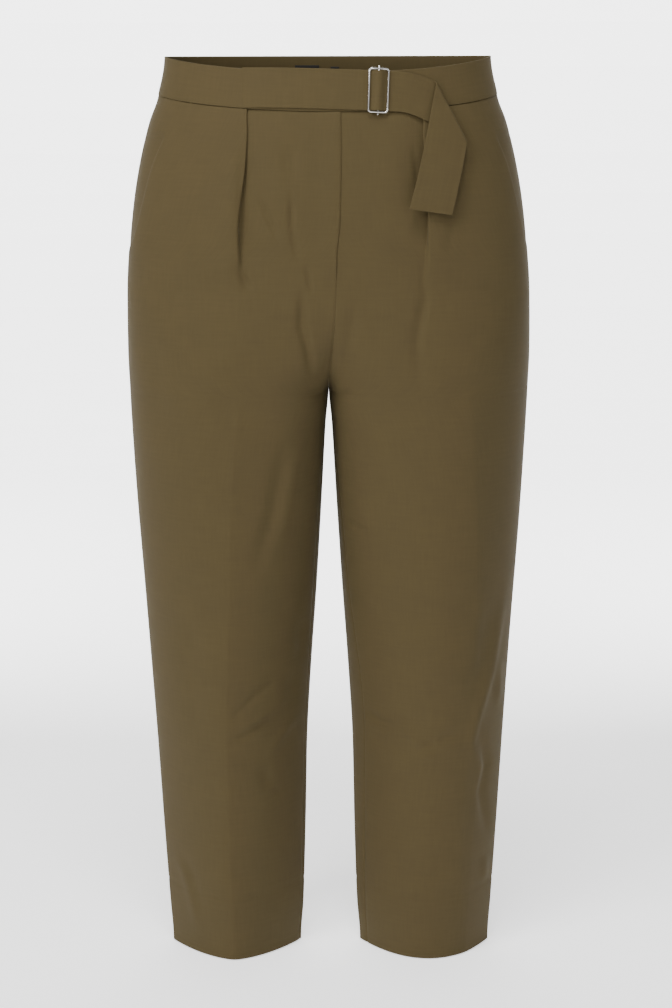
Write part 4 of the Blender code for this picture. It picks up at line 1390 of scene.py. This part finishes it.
class Waistband:
    """The waistband: two front halves, hidden by the belt where they meet, and the back."""

    def __init__(self, form: GarmentForm) -> None:
        """Keep the surface.

        Args:
            form: The garment's surface.
        """
        self.form = form

    def front(self, side: Side, finish: bpy.types.Material) -> bpy.types.Object:
        """Make one front half.

        Args:
            side: Which half.
            finish: The cloth.

        Returns:
            The piece.
        """
        gap = HAIR / 2
        angles = np.linspace(0.0, HALF_TURN, 60)
        stations = [(side, float(a), 0.0) for a in angles]
        stations[0] = (side, 0.0, gap)
        stations[-1] = (side, HALF_TURN, -gap)
        return build_band(self.form, f"waistband_front_{side.value}_cloth", stations, finish)

    def back(self, finish: bpy.types.Material) -> bpy.types.Object:
        """Make the back, from side seam to side seam.

        Args:
            finish: The cloth.

        Returns:
            The piece.
        """
        gap = HAIR / 2
        angles = np.linspace(HALF_TURN, 2 * HALF_TURN, 60)
        stations = [(Side.RIGHT, float(a), 0.0) for a in angles]
        stations += [(Side.LEFT, float(a), 0.0) for a in angles[-2::-1]]
        stations[0] = (Side.RIGHT, HALF_TURN, gap)
        stations[-1] = (Side.LEFT, HALF_TURN, gap)
        return build_band(self.form, "waistband_back_cloth", stations, finish)


# ---- Belt and buckle -----------------------------------------------------------------------------

class Belt:
    """The belt's way: flat along the waistband, through the buckle, then folded down over itself."""

    def __init__(self, form: GarmentForm, sizes: BeltSizes) -> None:
        """Measure the way round the waist.

        Args:
            form: The garment's surface.
            sizes: The belt's sizes.
        """
        self.form = form
        self.sizes = sizes
        gap = form.sizes.seam_gap
        self.rest = form.sizes.band_proud + gap + sizes.wall / 2
        self.buckle_plane = self.rest + sizes.wall / 2 + gap + sizes.wire
        self.over_bar = self.buckle_plane + sizes.bar + gap + sizes.wall / 2
        self.rise_half = sizes.buckle_size[0] / 2 - 2 * sizes.wire - gap
        self.xs = np.linspace(-0.150, 0.150, 241)
        line = form.front_point(self.xs, np.full_like(self.xs, sizes.level_z), np.zeros_like(self.xs))
        steps = np.linalg.norm(np.diff(line, axis=0), axis=1)
        arcs = np.concatenate([[0.0], np.cumsum(steps)])
        self.arcs = arcs - np.interp(0.0, self.xs, arcs)
        self.start = self.arc(sizes.start_x)
        self.bar = self.arc(sizes.buckle_x) - self.start
        self.to_corner = self.arc(sizes.fold_x) - self.start
        self.length = self.to_corner + sizes.tail
        arc, z, lean = self.flat_place(np.array(self.to_corner), np.array(sizes.width / 2))
        self.corner = (float(arc), float(z))
        self.turn = float(lean) - sizes.fold_angle

    def arc(self, x: float) -> float:
        """Find a distance round the waist.

        Args:
            x: A distance across it.

        Returns:
            The distance round, from the middle.
        """
        return float(np.interp(x, self.xs, self.arcs))

    def flat_place(self, along: Points, across: Points) -> tuple[Points, Points, Points]:
        """Find where the belt lies before it is folded: sinking, then drooping towards the fold.

        Args:
            along: Distances along the belt.
            across: Distances across it.

        Returns:
            Distances round the waist, heights, and how far the belt leans there.
        """
        s = self.sizes
        before = np.minimum(along, self.to_corner)
        share = before / self.to_corner
        droop = np.maximum(1.0 - (self.to_corner - before) / s.droop_reach, 0.0)
        lean = np.arctan(-2.0 * s.sink * share / self.to_corner - 2.0 * s.droop * droop / s.droop_reach)
        beyond = along - before
        arc = self.start + before + beyond * np.cos(lean) - across * np.sin(lean)
        z = s.middle_z - s.sink * share ** 2 - s.droop * droop ** 2
        return arc, z + beyond * np.sin(lean) + across * np.cos(lean), lean

    def gathers(self, along: Points, across: Points) -> Points:
        """Find the small gathers that spread from the fold's top, and the cloth's slight waves.

        Args:
            along: Distances along the belt.
            across: Distances across it.

        Returns:
            Heights to add.
        """
        to_fold = along - self.to_corner
        spot = np.hypot(to_fold + 0.006, across - self.sizes.width / 2)
        fan = np.arctan2(across - self.sizes.width / 2, to_fold + 0.006)
        rays = np.sin(fan * 9.0) * 0.00035 * np.exp(-((spot - 0.010) / 0.008) ** 2)
        waves = (0.00018 * np.sin(along * 92.0 + across * 40.0)
                 + 0.00012 * np.sin(along * 211.0 - across * 90.0))
        return rays + waves * smoothstep(along / 0.02)

    def middle(self, along: Points, across: Points) -> Points:
        """Find points on the belt's middle.

        Args:
            along: Distances along the belt.
            across: Distances across it.

        Returns:
            The points.
        """
        s = self.sizes
        arc, z, _ = self.flat_place(along, across)
        from_bar = np.minimum(np.abs(along - self.bar) / self.rise_half, 1.0)
        height = self.rest + (self.over_bar - self.rest) * (0.5 + 0.5 * np.cos(math.pi * from_bar))
        corner = self.corner
        line = (math.cos(s.fold_angle), math.sin(s.fold_angle))
        beyond = (-line[1], line[0])
        offset = (arc - corner[0], z - corner[1])
        down = offset[0] * line[0] + offset[1] * line[1]
        past = offset[0] * beyond[0] + offset[1] * beyond[1]
        radius = s.roll + s.roll_opens * (0.5 - across / s.width)
        turned = np.clip(past / radius, 0.0, math.pi)
        after = np.maximum(past - math.pi * radius, 0.0)
        over = past > 0.0
        height = height + np.where(over, radius * (1.0 - np.cos(turned)), 0.0)
        height = height + np.where(over, s.tail_lift * np.minimum(after / s.tail, 1.0), 0.0)
        past = np.where(over, radius * np.sin(turned) - after, past)
        arc = corner[0] + down * line[0] + past * beyond[0]
        z = corner[1] + down * line[1] + past * beyond[1]
        height = height + np.where(over, 1.0, 0.35) * self.gathers(along, across) * smoothstep(
            np.abs(along - self.bar) / 0.02 - 0.4)
        return self.form.front_point(np.interp(arc, self.arcs, self.xs), z, height)

    def lane(self, across: float) -> Points:
        """List the stations along one lane, slanted with the fold line.

        Args:
            across: The lane's distance across the belt.

        Returns:
            Distances along the belt.
        """
        s = self.sizes
        fold = self.to_corner + (s.width / 2 - across) / math.tan(self.turn)
        radius = s.roll + s.roll_opens * (0.5 - across / s.width)
        rolled = fold + math.pi * radius / math.sin(self.turn)
        high = self.bar + self.rise_half
        spans = [(BELT_EDGE, 2), (self.bar - self.rise_half, 48), (high, 24), (fold, 26), (rolled, 18),
                 (self.length - BELT_EDGE, 44), (self.length, 2)]
        stations = [0.0]
        for end, count in spans:
            start = stations[-1]
            stations += [start + (end - start) * (i + 1) / count for i in range(count)]
        return np.array(stations)

    def build(self, finish: bpy.types.Material) -> bpy.types.Object:
        """Make the belt, one long strip with rounded edges.

        Args:
            finish: The cloth.

        Returns:
            The piece.
        """
        s = self.sizes
        half, edge = s.wall / 2, s.width / 2
        lanes = np.concatenate([[-edge, -edge + 0.0003, -edge + 0.0009],
                                np.linspace(-edge + 0.002, edge - 0.002, 20),
                                [edge - 0.0009, edge - 0.0003, edge]])
        along = np.stack([self.lane(a) for a in lanes], axis=1)
        across = np.broadcast_to(lanes, along.shape)
        middle = self.middle(along, across)
        run = self.middle(along + BELT_PROBE, across) - self.middle(along - BELT_PROBE, across)
        side = self.middle(along, across + BELT_PROBE) - self.middle(along, across - BELT_PROBE)
        normal = unit(np.cross(run, side))
        past_flat = np.maximum(np.abs(lanes) - edge + half, 0.0) / half
        rounded = np.sqrt(np.clip(1.0 - past_flat ** 2, 0.04, 1.0))
        depth, inset, width = BELT_GROOVE
        groove = depth * np.exp(-((edge - np.abs(lanes) - inset) / width) ** 2)
        ends = np.minimum(along, self.length - along)
        slim = np.sqrt(np.clip(1.0 - (1.0 - np.minimum(ends / half, 1.0)) ** 2, 0.05, 1.0))
        start = 1.0 - smoothstep(along / BELT_START_REACH)
        thick = (half * rounded - groove)[None, :] * slim * (1.0 - BELT_START_THINNING * start)
        sunk = (BELT_START_THINNING * half + self.form.sizes.seam_gap - HAIR) * start
        front = middle + normal * (thick - sunk)[..., None]
        back = middle - normal * (thick + sunk)[..., None]
        cut = np.stack([along, across], axis=-1)
        return wall_piece("belt_cloth", front, back, cut, finish)


def wire_loop(width: float, height: float, corner: float, steps: int = 10) -> list[tuple[float, float]]:
    """Lay a rectangle with round corners.

    Args:
        width: Its width between wire centres.
        height: Its height between them.
        corner: The corners' radius.
        steps: Steps round each corner.

    Returns:
        Points round it.
    """
    points = []
    for quarter in range(4):
        cx = (width / 2 - corner) * (1 if quarter in (0, 3) else -1)
        cy = (height / 2 - corner) * (1 if quarter in (0, 1) else -1)
        for i in range(steps + 1):
            turn = HALF_TURN * (quarter + i / steps)
            points.append((cx + corner * math.cos(turn), cy + corner * math.sin(turn)))
    return points


def tube(name: str, points: Sequence[tuple[float, float]], radius: float, cyclic: bool, place: Matrix,
         finish: bpy.types.Material, sides: int = 20) -> bpy.types.Object:
    """Make a wire that lies in a plane.

    Args:
        name: The piece's name.
        points: Places of its centre line in the plane.
        radius: The wire's radius.
        cyclic: Whether it closes on itself; if not, its ends are rounded.
        place: Where the plane is.
        finish: The metal.
        sides: Points round the wire.

    Returns:
        The piece.
    """
    centres = np.array([(x, y, 0.0) for x, y in points])
    if cyclic:
        tangents = unit(np.roll(centres, -1, axis=0) - np.roll(centres, 1, axis=0))
        radii = np.full(len(centres), radius)
    else:
        run = unit(centres[-1] - centres[0])
        turn = np.linspace(CAP_START, HALF_TURN, CAP_STEPS)
        cap, drop = np.sin(turn), radius * np.cos(turn)
        low = [centres[0] + run * (radius - d) for d in drop]
        high = [centres[-1] - run * (radius - d) for d in drop[::-1]]
        centres = np.array(low + high)
        radii = np.concatenate([cap, cap[::-1]]) * radius
        tangents = np.repeat(run[None, :], len(centres), axis=0)
    up = np.array([0.0, 0.0, 1.0])
    sideways = unit(np.cross(tangents, up))
    turns = np.linspace(0.0, 2 * math.pi, sides, endpoint=False)
    ring = np.cos(turns)[None, :, None] * sideways[:, None, :] + np.sin(turns)[None, :, None] * up
    loops = centres[:, None, :] + ring * radii[:, None, None]
    count = len(centres)
    faces = []
    for s in range(count if cyclic else count - 1):
        for k in range(sides):
            a, b = s * sides + k, s * sides + (k + 1) % sides
            shift = ((s + 1) % count - s) * sides
            faces.append([a, b, b + shift, a + shift])
    if not cyclic:
        faces.append(list(range(sides))[::-1])
        faces.append([(count - 1) * sides + k for k in range(sides)])
    turned = np.array(place)
    flat = loops.reshape(-1, 3) @ turned[:3, :3].T + turned[:3, 3]
    return new_piece(name, flat, faces, None, finish, smooth_angle=60.0)


class Buckle:
    """The slider buckle: a wire frame and its centre bar."""

    def __init__(self, belt: Belt) -> None:
        """Find the buckle's place on the belt.

        Args:
            belt: The belt that it slides on.
        """
        self.sizes = belt.sizes
        form = belt.form
        _, z, _ = belt.flat_place(np.array(belt.bar), np.array(0.0))
        angle = form.angle_at(z, np.array(belt.sizes.buckle_x))
        centre = Vector(form.lifted(Side.LEFT, angle, z, belt.buckle_plane))
        face = Vector(form.outward(Side.LEFT, angle, z))
        up = (Vector((0, 0, 1)) - face * face.z).normalized()
        upright = Matrix((up.cross(face), up, face)).transposed().to_4x4()
        self.place = Matrix.Translation(centre) @ upright @ Matrix.Rotation(-self.sizes.lean, 4, "Z")

    def build(self, finish: bpy.types.Material) -> bpy.types.Object:
        """Make the buckle.

        Args:
            finish: The metal.

        Returns:
            The frame, with the bar as its child.
        """
        s = self.sizes
        outline = wire_loop(s.buckle_size[0] - 2 * s.wire, s.buckle_size[1] - 2 * s.wire, s.corner)
        frame = tube("buckle_frame", outline, s.wire, True, self.place, finish)
        half = s.bar_length / 2
        bar = tube("buckle_bar", [(0.0, -half), (0.0, half)], s.bar, False, self.place, finish)
        bar.parent = frame
        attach(frame, BODY)
        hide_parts("buckle")
        return frame


# ---- Inside pieces -------------------------------------------------------------------------------

def build_patch(form: GarmentForm, name: str, span: tuple[float, float], rise: tuple[float, float],
                depth: float, wall: float, finish: bpy.types.Material) -> bpy.types.Object:
    """Make a bare label inside the back of the waist.

    Args:
        form: The garment's surface.
        name: The piece's name.
        span: Its side edges.
        rise: Its top and bottom.
        depth: How far its middle lies inside the surface.
        wall: Its thickness.
        finish: Its cloth.

    Returns:
        The piece.
    """
    xs = np.linspace(*span, 20)
    zs = np.linspace(*rise, 16)
    across, down = np.meshgrid(xs, zs)
    edge = np.minimum(np.minimum(across - span[0], span[1] - across),
                      np.minimum(rise[0] - down, down - rise[1]))
    full = smoothstep(edge / LABEL_EDGE)
    half = wall / 2 * (LABEL_EDGE_THICKNESS + (1.0 - LABEL_EDGE_THICKNESS) * full)
    angle = math.pi - form.angle_at(down, np.abs(across))
    grids = []
    for sign in (1.0, -1.0):
        left = form.lifted(Side.LEFT, angle, down, -depth + sign * half)
        right = form.lifted(Side.RIGHT, angle, down, -depth + sign * half)
        grids.append(np.where((across >= 0.0)[..., None], left, right))
    cut = np.stack([across, down], axis=-1)
    return wall_piece(name, grids[0], grids[1], cut, finish)


def build_shield(form: GarmentForm, finish: bpy.types.Material) -> bpy.types.Object:
    """Make the strip behind the fly.

    Args:
        form: The garment's surface.
        finish: The cloth.

    Returns:
        The piece.
    """
    sizes = form.sizes
    depth = sizes.cloth * 1.5 + sizes.layer_gap
    top = -sizes.band_height - sizes.front_dip - SHIELD_UNDER_BAND
    xs = np.linspace(*sizes.fly_shield, 16)
    zs = np.linspace(top, sizes.fly_bottom_z + SHIELD_OVER, 60)
    across, down = np.meshgrid(xs, zs)
    half = sizes.cloth / 2
    outer = form.front_point(across, down, np.full_like(down, half - depth))
    inner = form.front_point(across, down, np.full_like(down, -half - depth))
    cut = np.stack([across, down], axis=-1)
    return wall_piece("fly_shield_cloth", outer, inner, cut, finish)


# ---- The whole garment ---------------------------------------------------------------------------

@dataclass
class Trousers:
    """Every piece of the garment, in the frame."""

    palette: Palette
    sizes: GarmentSizes = field(default_factory=GarmentSizes)
    belt_sizes: BeltSizes = field(default_factory=BeltSizes)

    def build(self) -> None:
        """Make every piece and put it in the frame."""
        form = GarmentForm(self.sizes)
        cloth = self.palette.cloth
        self.panels(form)
        band = Waistband(form)
        for side in Side:
            name = side.value
            facing = build_facing(form, side, cloth)
            finish_sheet(facing, f"pocket_facing_{name}")
            half = band.front(side, cloth)
            finish_sheet(half, f"waistband_front_{name}")
        back = band.back(cloth)
        finish_sheet(back, "waistband_back")
        shield = build_shield(form, cloth)
        finish_sheet(shield, "fly_shield")
        belt = Belt(form, self.belt_sizes)
        strip = belt.build(cloth)
        finish_sheet(strip, "belt")
        Buckle(belt).build(self.palette.wire)
        self.labels(form)

    def panels(self, form: GarmentForm) -> None:
        """Make the four leg panels.

        Args:
            form: The garment's surface.
        """
        fronts = {Side.RIGHT: FRONT_RIGHT_CREASES, Side.LEFT: FRONT_LEFT_CREASES}
        backs = {Side.RIGHT: BACK_RIGHT_CREASES, Side.LEFT: mirrored(BACK_RIGHT_CREASES)}
        for side in Side:
            name = side.value
            front = LegPanel(form, side, True, fronts[side]).build(self.palette.cloth)
            finish_sheet(front, f"front_{name}")
            back = LegPanel(form, side, False, backs[side]).build(self.palette.cloth)
            finish_sheet(back, f"back_{name}")
            LOG.info("%s leg made", name)

    def labels(self, form: GarmentForm) -> None:
        """Make the bare label and the small tab inside the back.

        Args:
            form: The garment's surface.
        """
        sizes = self.sizes
        depth = sizes.band_wall - sizes.band_proud + 2 * sizes.seam_gap + LABEL_WALL / 2 + LABEL_CLEAR
        label = build_patch(form, "label_cloth", (-0.0355, -0.0095), (-0.0095, -0.0290), depth,
                            LABEL_WALL, self.palette.label)
        finish_sheet(label, "label")
        tab = build_patch(form, "size_tab_cloth", (0.003, 0.012), (-0.0110, -0.0225), depth,
                          LABEL_WALL, self.palette.label)
        finish_sheet(tab, "size_tab")


# ---- Studio --------------------------------------------------------------------------------------

@dataclass(frozen=True)
class SoftLight:
    """A soft square light that looks at a point."""

    name: str
    place: tuple[float, float, float]
    target: tuple[float, float, float]
    size: float
    power: float

    def build(self) -> None:
        """Make the light."""
        data = bpy.data.lights.new(self.name, "AREA")
        data.shape = "SQUARE"
        data.size = self.size
        data.energy = self.power
        lamp = bpy.data.objects.new(self.name, data)
        lamp.location = self.place
        lamp.rotation_euler = (Vector(self.target) - Vector(self.place)).to_track_quat("-Z", "Y").to_euler()
        bpy.context.scene.collection.objects.link(lamp)


@dataclass(frozen=True)
class Studio:
    """Pale paper sweep, soft lights and the camera."""

    floor_z: float = -0.981
    half_width: float = 6.0
    near: float = -4.0
    far: float = 2.6
    bend: float = 1.2
    top: float = 4.0
    lights: tuple[SoftLight, ...] = (
        SoftLight("key", (-2.3, -2.3, 1.7), (0.0, 0.0, -0.45), 1.5, 135.0),
        SoftLight("fill", (2.2, -2.8, 0.6), (0.0, 0.0, -0.5), 2.4, 20.0),
        SoftLight("top", (0.0, -0.9, 1.7), (0.0, 0.08, 0.0), 0.6, 40.0),
        SoftLight("backdrop_left", (-1.5, 1.0, 0.6), (-1.5, 4.0, 0.0), 1.8, 150.0),
        SoftLight("backdrop_right", (1.5, 1.0, 0.6), (1.5, 4.0, 0.0), 1.8, 150.0),
    )
    ambient: float = 0.38
    camera_place: tuple[float, float, float] = (0.0075, -2.14, 0.0)
    camera_tilt: float = math.radians(77.5)
    camera_roll: float = math.radians(-0.15)
    camera_view: float = math.radians(28.0)

    def sweep(self, finish: bpy.types.Material) -> None:
        """Make the paper that runs from the floor up behind the garment.

        Args:
            finish: The paper.
        """
        turns = np.linspace(-HALF_TURN, 0.0, 16)
        bend = [(self.far + self.bend * math.cos(a), self.floor_z + self.bend * (1.0 + math.sin(a)))
                for a in turns]
        line = [(self.near, self.floor_z), *bend, (self.far + self.bend, self.top)]
        points = np.array([[(x, y, z) for x in (-self.half_width, self.half_width)] for y, z in line])
        mesh = bpy.data.meshes.new("paper_sweep")
        mesh.from_pydata(points.reshape(-1, 3).tolist(), [], grid_faces(len(line), 2))
        mesh.flip_normals()
        mesh.materials.append(finish)
        paper = bpy.data.objects.new("paper_sweep", mesh)
        bpy.context.scene.collection.objects.link(paper)

    def camera(self) -> None:
        """Make the camera."""
        data = bpy.data.cameras.new("camera")
        data.sensor_fit = "VERTICAL"
        data.angle = self.camera_view
        camera = bpy.data.objects.new("camera", data)
        turn = Matrix.Rotation(self.camera_tilt, 4, "X") @ Matrix.Rotation(self.camera_roll, 4, "Z")
        camera.matrix_world = Matrix.Translation(self.camera_place) @ turn
        bpy.context.scene.collection.objects.link(camera)
        bpy.context.scene.camera = camera

    def build(self, finish: bpy.types.Material) -> None:
        """Make the studio.

        Args:
            finish: The paper.
        """
        self.sweep(finish)
        world = bpy.data.worlds.new("soft_room")
        world.use_nodes = True
        world.node_tree.nodes["Background"].inputs["Color"].default_value = (1.0, 1.0, 1.0, 1.0)
        world.node_tree.nodes["Background"].inputs["Strength"].default_value = self.ambient
        bpy.context.scene.world = world
        for light in self.lights:
            light.build()
        self.camera()


def main() -> None:
    """Make the looks on the frame."""
    logging.basicConfig(level=logging.INFO, format="%(message)s")
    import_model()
    palette = Palette()
    Trousers(palette).build()
    Studio().build(palette.backdrop)


if __name__ == "__main__":
    main()
